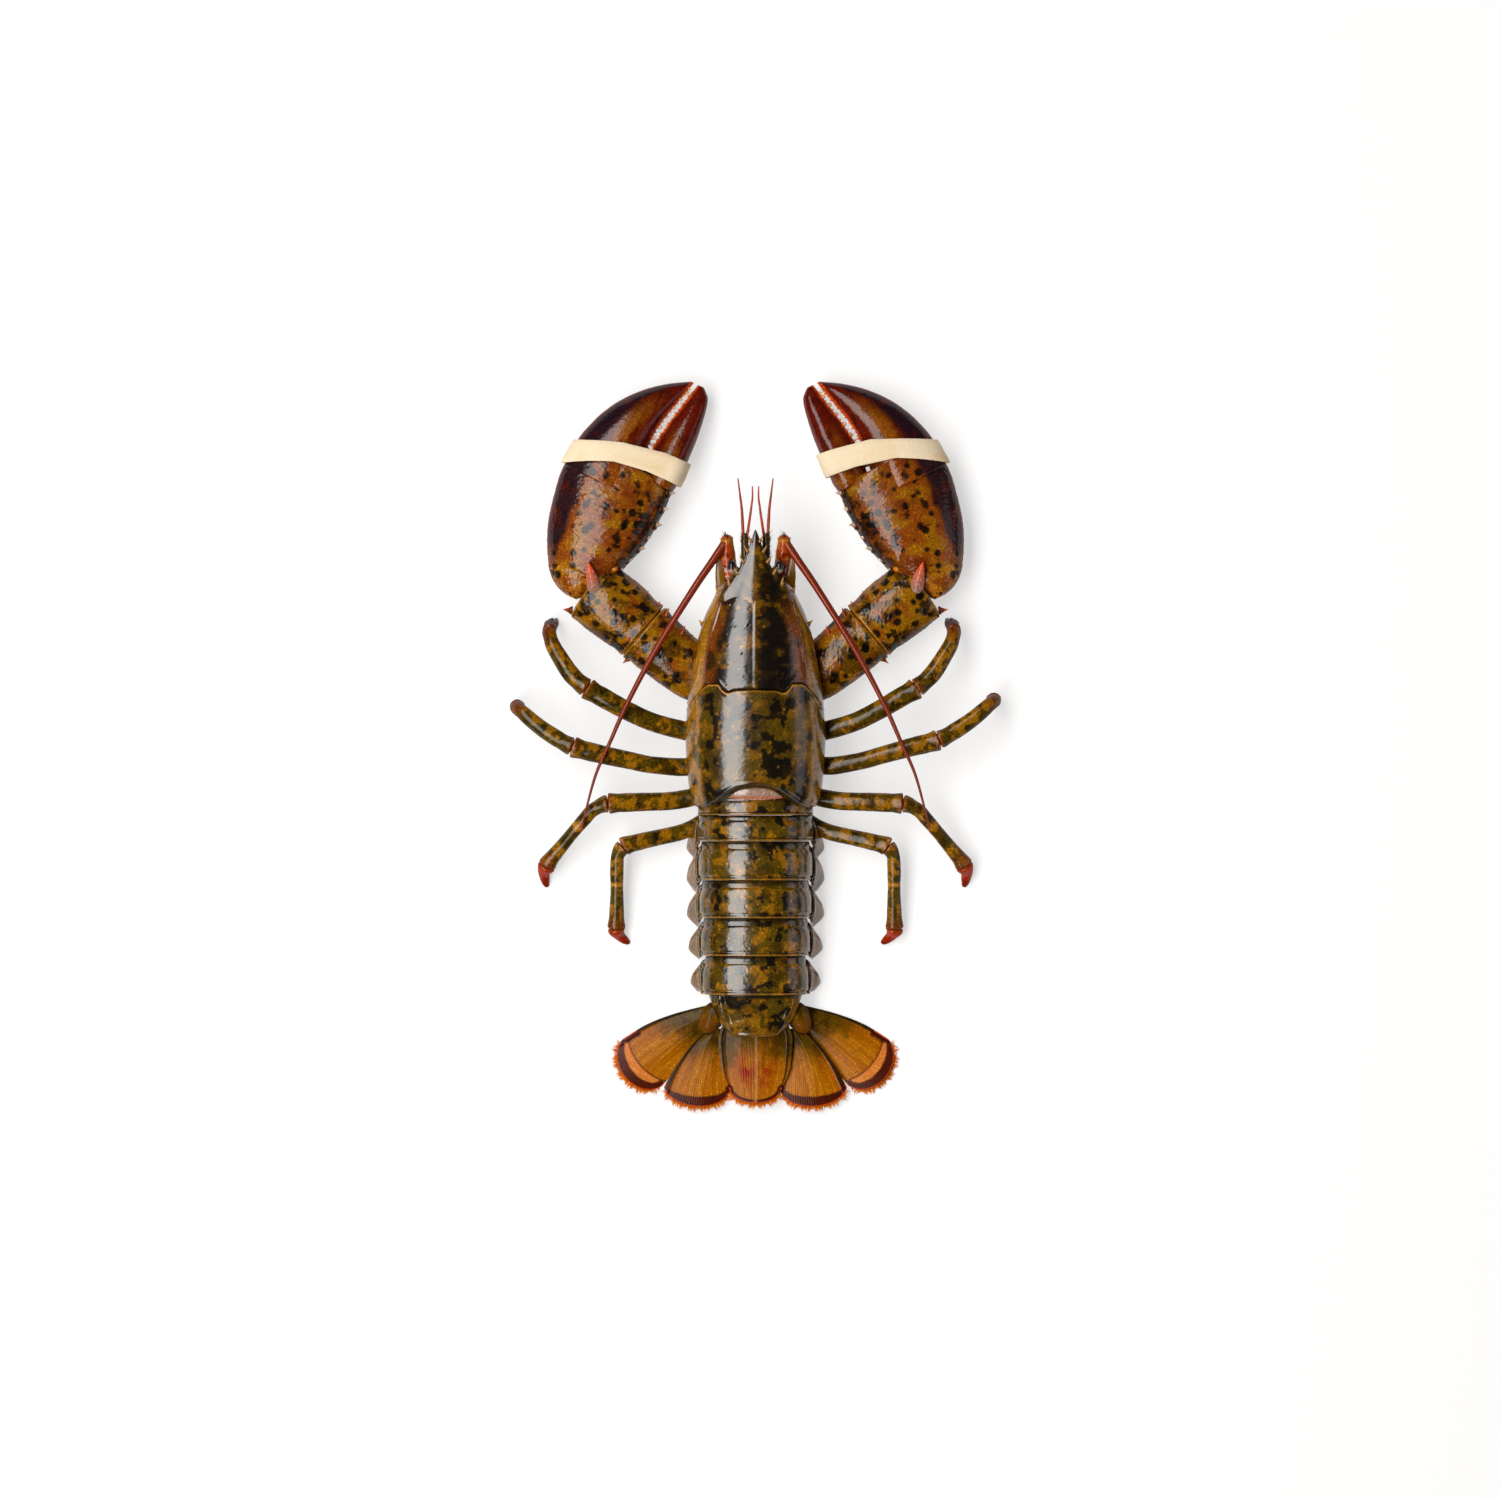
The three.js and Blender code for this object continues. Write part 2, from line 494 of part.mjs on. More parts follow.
// Walking legs, from the root under the shell to the toe; the second and third numbers of a cut
// are the station and the share of size that the next length starts with.
const LEGS = [
  { stations: [[-14, 4, 10, 4, 4], [-23, 5, 12.5, 4.2, 4.2], [-31.6, 6.6, 14.8, 4.2, 4.2], [-45.1, 10.2, 17, 4.1, 4],
    [-56.3, 15.2, 18.6, 4.2, 4], [-67.5, 21.3, 19.6, 4.4, 4.1], [-74.3, 25.3, 19.8, 4.6, 4.2],
    [-80.8, 31, 19.4, 3.9, 3.7], [-86, 38.6, 18.6, 3.6, 3.4], [-89.8, 45.6, 17.2, 3.3, 3.2],
    [-91, 50.6, 13.4, 2.9, 2.9], [-90.2, 53.6, 7.6, 2.7, 2.5], [-89.4, 55.2, 3.4, 1.9, 1.6],
    [-89, 56, -0.4, 1.1, 0.9]],
  cuts: [[6, 0.86], [10, 0.94]],
  pincer: 1.5,
  shift: [-3.4, 0] },
  { stations: [[-14, -6, 10, 4, 4], [-23, -8, 12.5, 4, 4], [-32.2, -9.5, 14.6, 4, 4], [-45.1, -8.6, 16.8, 3.8, 3.8],
    [-56.3, -6.4, 18, 3.9, 3.8], [-67.5, -4, 18.8, 4.1, 4], [-80.7, -0.5, 19, 4.4, 4.2],
    [-88, 3.5, 18.8, 3.7, 3.5], [-95, 8.2, 18.4, 3.5, 3.4], [-102.6, 14.6, 17.2, 3.2, 3.1],
    [-105.2, 17, 12.8, 2.9, 2.9], [-105.2, 18, 7.4, 2.7, 2.5], [-105.2, 18.4, 3.2, 1.9, 1.6],
    [-105.2, 18.8, -0.4, 1.1, 0.9]],
  cuts: [[6, 0.86], [10, 0.94]],
  pincer: 1.5,
  shift: [0, 3] },
  { stations: [[-13, -14.4, 9.8, 3.6, 3.6], [-21, -19.2, 9.8, 3.8, 3.7], [-29.5, -23.2, 10.6, 4, 3.8],
    [-39.6, -24.6, 12.8, 4, 3.8], [-50.4, -24.9, 14, 4.1, 3.9], [-65, -25.6, 15, 4.3, 4],
    [-71.6, -28.4, 14.4, 3.1, 3], [-75.5, -32.6, 13.6, 3, 2.9], [-80.2, -38, 12.2, 2.8, 2.7],
    [-86, -45, 9.4, 3, 2.7], [-92.2, -53, 6.4, 3.7, 3], [-93.4, -56.4, 4, 2.8, 2.2], [-93, -60, 1.8, 1.9, 1.4],
    [-92.2, -62.6, 0.3, 0.9, 0.8]],
  cuts: [[5, 0.78], [10, 0.82]],
  shift: [0, 0] },
  { stations: [[-9.6, -20.6, 7, 3, 2.8], [-17, -27.2, 6.7, 3.1, 2.9], [-24, -33.8, 6.7, 3.3, 3.1],
    [-32.5, -38.2, 8, 3.5, 3.3], [-42, -40.4, 9.6, 3.5, 3.3], [-50.4, -42.3, 10.8, 3.7, 3.5],
    [-58.4, -44.8, 11.4, 4, 3.7], [-61, -50, 11, 3, 2.9], [-61.2, -56, 10.4, 3, 2.9], [-61.2, -62.4, 9.4, 2.8, 2.6],
    [-61.3, -72, 7.4, 3.2, 2.7], [-61.5, -80.7, 5.4, 3.7, 2.9], [-60.2, -83.8, 3.4, 2.7, 2],
    [-58, -86, 1.6, 1.9, 1.3], [-55.8, -87.6, 0.3, 0.9, 0.8]],
  cuts: [[6, 0.8], [11, 0.82]],
  shift: [0, 0] },
];
const LEG_FULL_SHIFT = 40;
const LEG_FACES = 7;
const PINCER_SLIM = 0.66;
const PINCER_FORK = 0.45;
const PINCER_PALM_END = 0.55;
const PINCER_MEET = 0.5;

// A small pincer in place of a toe: a short palm and two fingers that part below it and meet again
// at the floor. Its stations run from the palm's root to the tip, and spread is how far each parts.
function makePincer(stations, spread) {
  const [root, next, , tip] = stations;
  const between = (share) => root.map((value, k) => mix(value, next[k], share));
  const finger = (way) => limb([between(PINCER_FORK), next, tip].map(([x, y, z, half, rise], i) => {
    const part = i === 1 ? 1 : PINCER_MEET;
    return [x + way * part * spread, y, z, half * PINCER_SLIM, rise * PINCER_SLIM];
  }), [], { faces: 6 })[0];
  const [palm] = limb([root, between(PINCER_PALM_END)], [], { faces: LEG_FACES });
  return fuse(palm, finger(-1), finger(1));
}

// Leg stations on one side; the right legs lie a little nearer the body in the photograph.
function legStations({ stations, shift }, side) {
  return onSide(side, stations.map(([x, y, z, half, rise]) => {
    const share = side === RIGHT ? Math.min(1, Math.max(0, (-x - 25) / LEG_FULL_SHIFT)) : 0;
    return [x - shift[0] * share, y + shift[1] * share, z, half, rise];
  }));
}

// Tail: seven rings, each a barrel arch that the one before overlaps. waist says how much of
// RING_WIDE's narrowing to front and rear a ring has.
const RINGS = [
  { front: -20.8, rear: -30.6, half: 25.4, crest: 37.4, level: 18, waist: 0.2 },
  { front: -30.6, rear: -42, half: 25.6, crest: 36.9, level: 16, waist: 0.5 },
  { front: -42, rear: -59.2, half: 25.2, crest: 35.2, level: 15, waist: 1 },
  { front: -59.2, rear: -75.9, half: 24.8, crest: 32.6, level: 14, waist: 1 },
  { front: -75.9, rear: -92.6, half: 24.2, crest: 29.6, level: 13, waist: 1 },
  { front: -92.6, rear: -109.8, half: 23.4, crest: 26.2, level: 12, waist: 1 },
];
const RING_UNDER = [15.4, 10.8, 7.4, 6.8, 6.4, 6];
const RING_WIDE = curve([[0, 0.94], [0.45, 1], [0.75, 1], [1, 0.96]]);
const RING_RISE = curve([[0, 0.91], [0.2, 0.956], [0.5, 0.994], [0.85, 1], [1, 0.987]]);
const RING_ANGLES = [0, 17, 34, 51, 70, 90, 108, 130, 180];
const RING_OUT = curve([[90, 1], [97, 0.985], [112, 0.95], [128, 0.8], [154, 0.4], [180, 0]]);
const RING_DOWN = curve([[90, 0], [97, 0.3], [112, 0.86], [128, 1], [154, 0.9], [180, 0.86]]);

function ringOutline({ half, crest, level }, under, [wideShare, riseShare], y, grow) {
  const point = (angle, side) => {
    const wide = half * wideShare + grow;
    if (angle <= 90) {
      const rise = (crest - level) * riseShare + grow;
      const [out, up] = [Math.sin(degrees(angle)), Math.cos(degrees(angle))];
      return [side * wide * out ** ROUNDING, y, level + rise * up ** ROUNDING];
    }
    return [side * wide * RING_OUT(angle), y, level - (level - under + grow) * RING_DOWN(angle)];
  };
  return [...RING_ANGLES.map((angle) => point(angle, RIGHT)),
    ...RING_ANGLES.slice(1, -1).reverse().map((angle) => point(angle, LEFT))];
}

// Side lobe of a ring, hanging to the floor and swept back.
const LOBES = [
  null,
  { out: 30.5, tipY: -50.6, tipX: 27.6 },
  { out: 30.5, tipY: -65, tipX: 27.6 },
  { out: 30.4, tipY: -80.4, tipX: 26.6 },
  { out: 29.7, tipY: -94.6, tipX: 25.8 },
  { out: 28.8, tipY: -109.2, tipX: 26.2 },
];

// Its stations are rows of x, y, z, half length along the body and half thickness. Its slanting
// sides need LOBE_GROWTH times as much growth to keep the same gap.
const LOBE_GROWTH = 1.6;

function makeLobe(ring, lobe, side, grow) {
  const sweep = ring.front - lobe.tipY;
  const back = (share) => ring.front - share * sweep;
  const stations = [
    [ring.half - 5, back(0.42), ring.level + 4, 0.28 * sweep, 1.6],
    [ring.half - 1.6, back(0.47), ring.level - 1, 0.32 * sweep, 1.5],
    [mix(ring.half, lobe.out, 0.4), back(0.62), ring.level - 5.4, 0.28 * sweep, 1.3],
    [lobe.out - 1.5, back(0.77), 4.8, 0.2 * sweep, 1.1],
    [lobe.out - 0.7, back(0.87), 2.5, 0.11 * sweep, 0.9],
    [lobe.tipX, lobe.tipY, 0.9, 0.8, 0.6],
  ];
  const faces = 8;
  return loft(stations.map(([x, y, z, long, thick], i) => Array.from({ length: faces }, (_, j) => {
    const turn = degrees((360 * j) / faces);
    const more = LOBE_GROWTH * grow;
    const [fore, out] = [(long + more) * Math.cos(turn), (thick + more) * Math.sin(turn)];
    const lift = (i === 0 ? more : 0) - (i === stations.length - 1 ? more : 0);
    return [side * (x + out * 0.92), y + fore, z + out * 0.4 + lift];
  })));
}

// Swimmerets: a pair of thin leaves under a ring, lying back along the belly.
function makeSwimmeret(ring, under, side) {
  const middle = mix(ring.front, ring.rear, 0.45);
  const stations = [
    [side * 9.5, middle, under + 1.2, 1.8, 1], [side * 10.4, middle - 3, under - 1.6, 2.6, 0.7],
    [side * 11, middle - 7.5, under - 3, 2.9, 0.6], [side * 11.2, middle - 11, under - 3.8, 1.2, 0.4],
  ];
  return limb(stations, [], { faces: 6 })[0];
}

function makeRing(index, grow = 0) {
  const ring = RINGS[index];
  const under = RING_UNDER[index];
  const shares = [0, 0.14, 0.45, 0.8, 1];
  const barrel = loft(shares.map((t, i) => {
    const shift = (i === 0 ? grow - GAP / 2 : 0) + (i === shares.length - 1 ? GAP / 2 - grow : 0);
    const wide = 1 - ring.waist * (1 - RING_WIDE(t));
    return ringOutline(ring, under, [wide, RING_RISE(t)], mix(ring.front, ring.rear, t) + shift, grow);
  }));
  if (!LOBES[index]) return barrel;
  return fuse(barrel, SIDES.map(([, side]) => makeLobe(ring, LOBES[index], side, grow)));
}

// Pale hinge skin that shows between the shell and the first ring.
const HINGE_SKIN = { half: 23, crest: 37.8, level: 18 };

function makeHingeSkin() {
  const stations = [
    [-8, 0.8, 0.75], [-15, 0.93, 0.91], [-20.5, 0.985, 0.98], [-23.4, 0.94, 0.925], [-25, 0.9, 0.875],
  ];
  return loft(stations.map(([y, ...shares]) => ringOutline(HINGE_SKIN, 15.8, shares, y, 0)));
}

// Last ring: it narrows to a rounded rear edge over the tail fan.
const lastHalf = curve([[-128.7, 8], [-126, 12.4], [-122, 15.8], [-117, 18.4], [-109.8, 20.6]]);
const lastCrest = curve([[-128.7, 13.6], [-120, 17.4], [-109.8, 22.4]]);

function makeLastRing(grow = 0) {
  const stations = [-109.8 - GAP / 2 + grow, -112, -115, -118, -121, -124, -126.4, -128.4 - grow];
  return loft(stations.map((y) => ringOutline(
    { half: lastHalf(y), crest: lastCrest(y), level: 10.5 }, 6, [1, 1], y, grow,
  )));
}

// Tail fan. A blade spreads from its root between two edge lines and ends in a rounded bulge.
const EXOPOD = { near: [[-19, -114.4], [-36, -118.8], [-48, -123.4], [-58.8, -130]],
  far: [[-15, -124], [-23, -130.4], [-32, -140], [-40.4, -150.6]],
  bulge: [-9.4, -8.2], under: [0, 0, 0], thick: [2.5, 2.2, 1.5], camber: 0.9 };
const ENDOPOD = { near: [[-19.4, -124.4], [-27.6, -132], [-34.8, -141.4], [-39.2, -150.4]],
  far: [[-12.6, -126], [-13.6, -134], [-13, -143], [-12.2, -151.6]],
  bulge: [0, -9.7], under: [2.9, 3.2, 3], thick: [2.2, 1.9, 1.4], camber: 0.8 };
const TELSON = { near: [[-12, -118], [-16.4, -130], [-15.8, -141], [-11, -151.4]],
  far: [[12, -118], [16.4, -130], [15.8, -141], [11, -151.4]],
  bulge: [0, -8.8], under: [6.8, 6, 5.6], thick: [5.4, 3.4, 1.6], camber: 0.8 };
const BLADE_LONG = [0, 0.16, 0.34, 0.52, 0.7, 0.86, 1];
const BLADE_WIDE = [0, 0.05, 0.16, 0.5, 0.84, 0.95, 1];
const RIB = 0.5;

const keyed = (values) => curve(values.map((value, i) => [i / (values.length - 1), value]));

function makeBlade({ near, far, bulge, under, thick, camber }, side, grow = 0) {
  const lines = [near, far].map((line) => [0, 1].map((k) => keyed(line.map((point) => point[k]))));
  const [bottomAt, thickAt] = [keyed(under), keyed(thick)];
  const place = (t, v) => {
    const [nearPoint, farPoint] = lines.map((pair) => pair.map((line) => line(t)));
    const round = t ** 2.4 * (4 * v * (1 - v)) ** 0.52;
    return [0, 1].map((k) => mix(nearPoint[k], farPoint[k], v) + bulge[k] * round);
  };
  const centre = place(0.5, 0.5);
  const points = [];
  const layer = (top) => BLADE_LONG.map((t) => BLADE_WIDE.map((v, j) => {
    const [x, y] = place(t, v);
    const spread = Math.hypot(x - centre[0], y - centre[1]) || 1;
    const outward = [((x - centre[0]) / spread) * grow, ((y - centre[1]) / spread) * grow];
    const rib = j % 2 ? RIB * (1 - 0.6 * t) : 0;
    const rise = thickAt(t) * mix(0.55, 1, Math.sin(Math.PI * v)) + camber * Math.sin(Math.PI * v) + rib;
    const z = bottomAt(t) + (top ? rise + grow : -grow);
    return points.push([-side * (x + outward[0]), y + outward[1], z]) - 1;
  }));
  const [lower, upper] = [layer(false), layer(true)];
  const triangles = [];
  const [rows, columns] = [BLADE_LONG.length - 1, BLADE_WIDE.length - 1];
  const quad = (a, b, c, d) => triangles.push([a, b, c], [a, c, d]);
  for (let i = 0; i < rows; i += 1) {
    for (let j = 0; j < columns; j += 1) {
      quad(upper[i][j], upper[i + 1][j], upper[i + 1][j + 1], upper[i][j + 1]);
      quad(lower[i][j], lower[i][j + 1], lower[i + 1][j + 1], lower[i + 1][j]);
    }
    quad(upper[i][0], lower[i][0], lower[i + 1][0], upper[i + 1][0]);
    quad(upper[i][columns], upper[i + 1][columns], lower[i + 1][columns], lower[i][columns]);
  }
  for (let j = 0; j < columns; j += 1) {
    quad(upper[0][j], upper[0][j + 1], lower[0][j + 1], lower[0][j]);
    quad(upper[rows][j], lower[rows][j], lower[rows][j + 1], upper[rows][j + 1]);
  }
  return solidOf(points, triangles);
}

// Root lobe that joins the side blades to the last ring.
const FAN_ROOT = [[-13, -114.6, 8, 4, 3.4], [-18.6, -118.6, 6.6, 5, 3.8], [-20.4, -123.4, 5.6, 4.6, 3.2],
  [-19.4, -126.6, 5, 2.6, 2]];

function makeOuterFan(side, grow = 0) {
  const root = limb(onSide(side, FAN_ROOT), [], { faces: 10, grow })[0];
  return fuse(makeBlade(EXOPOD, side, grow), root);
}

// Feelers, eyes and jaws
const FEELER_STEM = [[-10.8, 64, 22.6, 4, 4], [-11.4, 72, 23.6, 3.9, 3.9], [-11.8, 79, 25.2, 3.5, 3.3],
  [-12.1, 82, 26, 3.6, 3.4], [-12.4, 87, 27.6, 3.1, 3], [-12.7, 90.8, 28.6, 2.6, 2.6],
  [-12.9, 92.4, 29, 1.4, 1.4]];
const FEELER_SCALE = [[-14.4, 66, 25, 2.6, 1], [-15, 73, 26, 2.6, 0.9], [-15.8, 78.4, 26.8, 1.7, 0.8],
  [-16.4, 83.4, 27.6, 0.5, 0.4]];
const FEELER_WHIP = [
  [-13.2, 89.2, 28.8, 1.9], [-14.7, 86.9, 29.4, 1.9], [-19.4, 80, 30.3, 1.75], [-24.4, 72.8, 30.8, 1.65],
  [-31, 62.6, 30.9, 1.55], [-37.6, 52.1, 30.5, 1.45], [-44.2, 41.1, 29.8, 1.35], [-51.9, 27.1, 28.4, 1.2],
  [-58.7, 13.4, 26.8, 1.05], [-63.6, 2.2, 25.3, 0.9], [-70.2, -12.8, 22.8, 0.7], [-74.1, -26.5, 20.6, 0.5],
  [-77, -38.2, 18.6, 0.3],
];
const FEELERETTE_STEM = [[-4.2, 68, 28.6, 2.3, 2.3], [-4.4, 76, 29.6, 2.1, 2.1], [-4.5, 83, 30.8, 1.8, 1.8],
  [-4.7, 89, 32, 1.7, 1.7], [-4.8, 93, 32.8, 1.4, 1.4]];
const FEELERETTE_OUTER = [[-5.3, 90.4, 32.4, 0.7, 0.7], [-5.6, 96, 33.6, 0.7, 0.7], [-6, 103, 35, 0.6, 0.6],
  [-6.9, 110.6, 36.2, 0.45, 0.45], [-7.7, 117.3, 37, 0.27, 0.27]];
const FEELERETTE_INNER = [[-4, 90.4, 32.6, 0.65, 0.65], [-2.9, 97, 34.4, 0.6, 0.6], [-1.9, 104, 36.2, 0.5, 0.5],
  [-1.3, 109.4, 37.4, 0.4, 0.4], [-1.4, 113.8, 38.2, 0.26, 0.26]];
const EYE_CENTRE = [-10.4, 78.2, 33.4];
const EYE_RADIUS = 3;
const EYE_STALK = [[-4.6, 70, 31.4, 2, 1.8], [-7.4, 75, 32.4, 1.8, 1.7], [-9.6, 77.4, 33.2, 2.1, 2]];
const JAW_LEG = [[-5.4, 43, 10, 3, 2.8], [-7.6, 50, 7, 3.2, 2.7], [-9, 60, 6.4, 2.9, 2.4], [-8.2, 68, 8.6, 2.5, 2.2],
  [-6.4, 73, 12.4, 2, 1.9], [-5, 75.4, 16, 1, 1]];

const rostrumRoom = loft(ROSTRUM_STATIONS.map(
  (y) => rostrumRing(y).map(([x, py, z]) => [x * 1.04, py, z - GAP]),
));
const oneLimb = (side, stations, faces, grow = 0) => limb(onSide(side, stations), [], { faces, grow })[0];

for (const [name, side] of SIDES) {
  const stem = fuse(oneLimb(side, FEELER_STEM, 8), oneLimb(side, FEELER_SCALE, 6));
  addPart(`feeler_base_${name}`, clear(stem, body), 'feeler');
  const whip = oneLimb(side, FEELER_WHIP.map((row) => [...row, row[3]]), 6);
  addPart(`feeler_${name}`, clear(whip, oneLimb(side, FEELER_STEM, 8, GAP)), 'feeler');
  const small = fuse([FEELERETTE_STEM, FEELERETTE_OUTER, FEELERETTE_INNER].map(
    (stations) => oneLimb(side, stations, 6),
  ));
  addPart(`small_feeler_${name}`, clear(small, body), 'feeler');
  const ball = new THREE.SphereGeometry(EYE_RADIUS, 8, 6);
  ball.translate(-side * EYE_CENTRE[0], EYE_CENTRE[1], EYE_CENTRE[2]);
  const eye = fuse(solidFromGeometry(ball), oneLimb(side, EYE_STALK, 8));
  const smallRoom = oneLimb(side, FEELERETTE_STEM, 6, 1.3 * GAP);
  addPart(`eye_${name}`, clear(eye, body, rostrumRoom, smallRoom), 'eye');
  addPart(`jaw_leg_${name}`, clear(oneLimb(side, JAW_LEG, 8), body), 'head');
}

addPart('head', makeHead(0), 'head');
addPart('thorax', makeThorax(0), 'shell');

for (const [name, side] of SIDES) {
  const [upper, wrist] = makeArm(side);
  const [, wristRoom] = makeArm(side, GAP);
  addPart(`arm_${name}`, clear(upper, body), 'claw');
  addPart(`wrist_${name}`, wrist, 'claw');
  const palm = clear(makePalm(side), wristRoom, belowFloor);
  addPart(`claw_${name}`, palm, 'claw');
  addPart(`claw_finger_${name}`, clear(makeThumb(side), makePalm(side, GAP)), 'claw');
  addPart(`band_${name}`, makeBand(name, side), 'band');
}

const lastLegRooms = SIDES.map(
  ([, side]) => limb(legStations(LEGS[3], side), [], { faces: LEG_FACES, grow: GAP })[0],
);
LEGS.forEach((leg, i) => {
  for (const [name, side] of SIDES) {
    const stations = legStations(leg, side);
    const [thigh, shin, singleToe] = limb(stations, leg.cuts, { faces: LEG_FACES });
    const [toeRoot] = leg.cuts[leg.cuts.length - 1];
    const shinRoom = limb(stations, leg.cuts, { faces: LEG_FACES, grow: GAP })[1];
    const toe = leg.pincer ? clear(makePincer(stations.slice(toeRoot), leg.pincer), shinRoom) : singleToe;
    addPart(`leg${i + 1}_upper_${name}`, clear(thigh, body), 'shell');
    addPart(`leg${i + 1}_lower_${name}`, shin, 'shell');
    addPart(`leg${i + 1}_toe_${name}`, clear(toe, belowFloor), 'toe');
  }
});

RINGS.forEach((ring, i) => {
  let solid = makeRing(i);
  if (i === 0) solid = clear(fuse(solid, makeHingeSkin()), body);
  if (i === 1) solid = clear(solid, lastLegRooms);
  if (i > 1) solid = fuse(solid, SIDES.map(([, side]) => makeSwimmeret(ring, RING_UNDER[i], side)));
  const lobesBefore = LOBES[i - 1]
    ? SIDES.map(([, side]) => makeLobe(RINGS[i - 1], LOBES[i - 1], side, GAP)) : [];
  addPart(`tail_ring_${i + 1}`, clear(solid, lobesBefore, belowFloor), 'shell');
});

const lastRingRoom = makeLastRing(GAP);
const lastLobes = SIDES.map(([, side]) => makeLobe(RINGS[5], LOBES[5], side, GAP));
addPart('tail_ring_7', clear(makeLastRing(), lastLobes), 'shell');
const telsonRoom = makeBlade(TELSON, LEFT, GAP);
addPart('telson', clear(makeBlade(TELSON, LEFT), lastRingRoom), 'fin');
for (const [name, side] of SIDES) {
  const outer = clear(makeOuterFan(side), lastRingRoom, telsonRoom);
  addPart(`fan_outer_${name}`, clear(outer, belowFloor), 'fin');
  const inner = clear(makeBlade(ENDOPOD, side), lastRingRoom, telsonRoom, makeOuterFan(side, GAP));
  addPart(`fan_inner_${name}`, inner, 'fin');
}

export default lobster;
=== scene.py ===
"""Looks of an American lobster with banded claws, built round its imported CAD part."""

import bpy
import numpy as np
from bpy.props import FloatProperty, FloatVectorProperty, IntProperty, PointerProperty
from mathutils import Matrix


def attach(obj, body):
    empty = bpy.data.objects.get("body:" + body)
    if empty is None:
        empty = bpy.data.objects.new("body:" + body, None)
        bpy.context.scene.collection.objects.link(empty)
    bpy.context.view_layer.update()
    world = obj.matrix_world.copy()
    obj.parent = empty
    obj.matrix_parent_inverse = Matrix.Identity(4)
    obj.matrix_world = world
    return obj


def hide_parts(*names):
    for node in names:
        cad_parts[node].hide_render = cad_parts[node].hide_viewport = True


bl_info = {
    "name": "American lobster",
    "version": (1, 0, 0),
    "blender": (4, 5, 0),
    "location": "View3D > Sidebar > Lobster",
    "description": "Builds the shell, claws, legs, tail fan and feelers of an American lobster",
    "category": "Object",
}

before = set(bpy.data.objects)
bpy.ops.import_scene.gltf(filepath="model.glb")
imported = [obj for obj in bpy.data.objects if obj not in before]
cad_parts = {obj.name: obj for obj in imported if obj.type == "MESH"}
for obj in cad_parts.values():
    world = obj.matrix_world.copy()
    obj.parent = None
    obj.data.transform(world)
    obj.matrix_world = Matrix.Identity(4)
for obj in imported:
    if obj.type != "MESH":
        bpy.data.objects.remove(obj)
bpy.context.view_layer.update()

SIDES = (("left", -1), ("right", 1))

# Sizes are in millimetres and angles in degrees. The shell's outline across the body runs from the
# crest (0) by its widest level (90) to the middle of the belly (180), at each station y.
ARCH_POWER = .92
SHELL_FRONT = 73.0
SHELL_HALF = [(-27, 26.6), (-22, 28.6), (-15, 29.7), (-6, 30.4), (3, 30.8), (20, 29.7), (38, 27),
              (50, 24.4), (57.4, 22), (64, 18.8), (69, 16.4), (71.6, 14.4), (73, 12)]
SHELL_CREST = [(-27, 40.5), (-16, 43.4), (0, 46.2), (15, 47), (30, 46.4), (45, 44.8), (58, 42.2),
               (67, 39.8), (73, 36)]
SHELL_WIDEST = [(-27, 21), (0, 23), (30, 24), (50, 25.5), (65, 26.5), (73, 27)]
SHELL_BELLY = [(-27, 8), (0, 6.2), (24, 6.4), (40, 7.5), (55, 10), (64, 14), (73, 19)]
BELLY_OUT = [(90, 1), (103, .985), (117, .93), (129, .83), (134, .7), (150, .5), (165, .28), (180, 0)]
BELLY_DOWN = [(90, 0), (103, .3), (117, .56), (129, .74), (134, .76), (150, .9), (165, .98), (180, 1)]
GROOVE = [(0, 24.4), (15, 24.2), (23, 23.2), (28, 24.6), (33, 27), (43, 27), (50, 25.5), (62, 21),
          (75, 17.5), (90, 17), (115, 22), (135, 30), (180, 34)]
REAR = [(0, -16.8), (15, -18), (30, -21.8), (45, -25.3), (60, -27), (90, -26.5), (120, -23), (150, -20),
        (180, -20)]
CHEEK_LINE = [(20, 22.6), (30, 22.3), (47, 20), (54, 18), (62, 15.6), (69, 13.8), (73, 12.6)]
# Hips under the thorax, where arms and legs begin: centre and half sizes.
HIPS = [(-15.5, 22, 9.6, 6.4, 5.6, 5.6), (-16.5, 4.6, 8.8, 5.2, 4.4, 4.8),
        (-16.5, -6.2, 8.8, 5.2, 4.4, 4.8), (-15, -14.6, 8.4, 4.8, 3.8, 4.4), (-11, -19.6, 7.6, 4.2, 3, 3.6)]

ROSTRUM_TIP = 94.2
ROSTRUM_HALF = [(56, 16.6), (62, 16.6), (66, 15.4), (69, 13.4), (72, 11), (76, 8.2), (80, 6), (84, 4.2),
                (88, 2.6), (92, 1.2), (94.2, .3)]
ROSTRUM_CREST = [(56, 42), (62, 41.4), (68, 40.6), (74, 40), (84, 39.6), (94.2, 39.6)]
ROSTRUM_RIM = [(56, 35.5), (66, 37), (74, 37.8), (84, 38.6), (94.2, 39.3)]
ROSTRUM_UNDER = [(56, 32), (72, 33.6), (80, 35.4), (88, 37.2), (94.2, 38.9)]
ROSTRUM_TEETH = [(89.5, 2.6), (85, 3.2), (80.5, 3.4), (75.5, 3.2)]
CHEEK_SPINES = [(23.4, 53.6, 27, (.75, .65, .1), 2.4), (16.2, 66.4, 30, (.35, .93, .1), 4.4),
                (11.4, 70.6, 37.2, (.25, .95, .2), 3.4)]

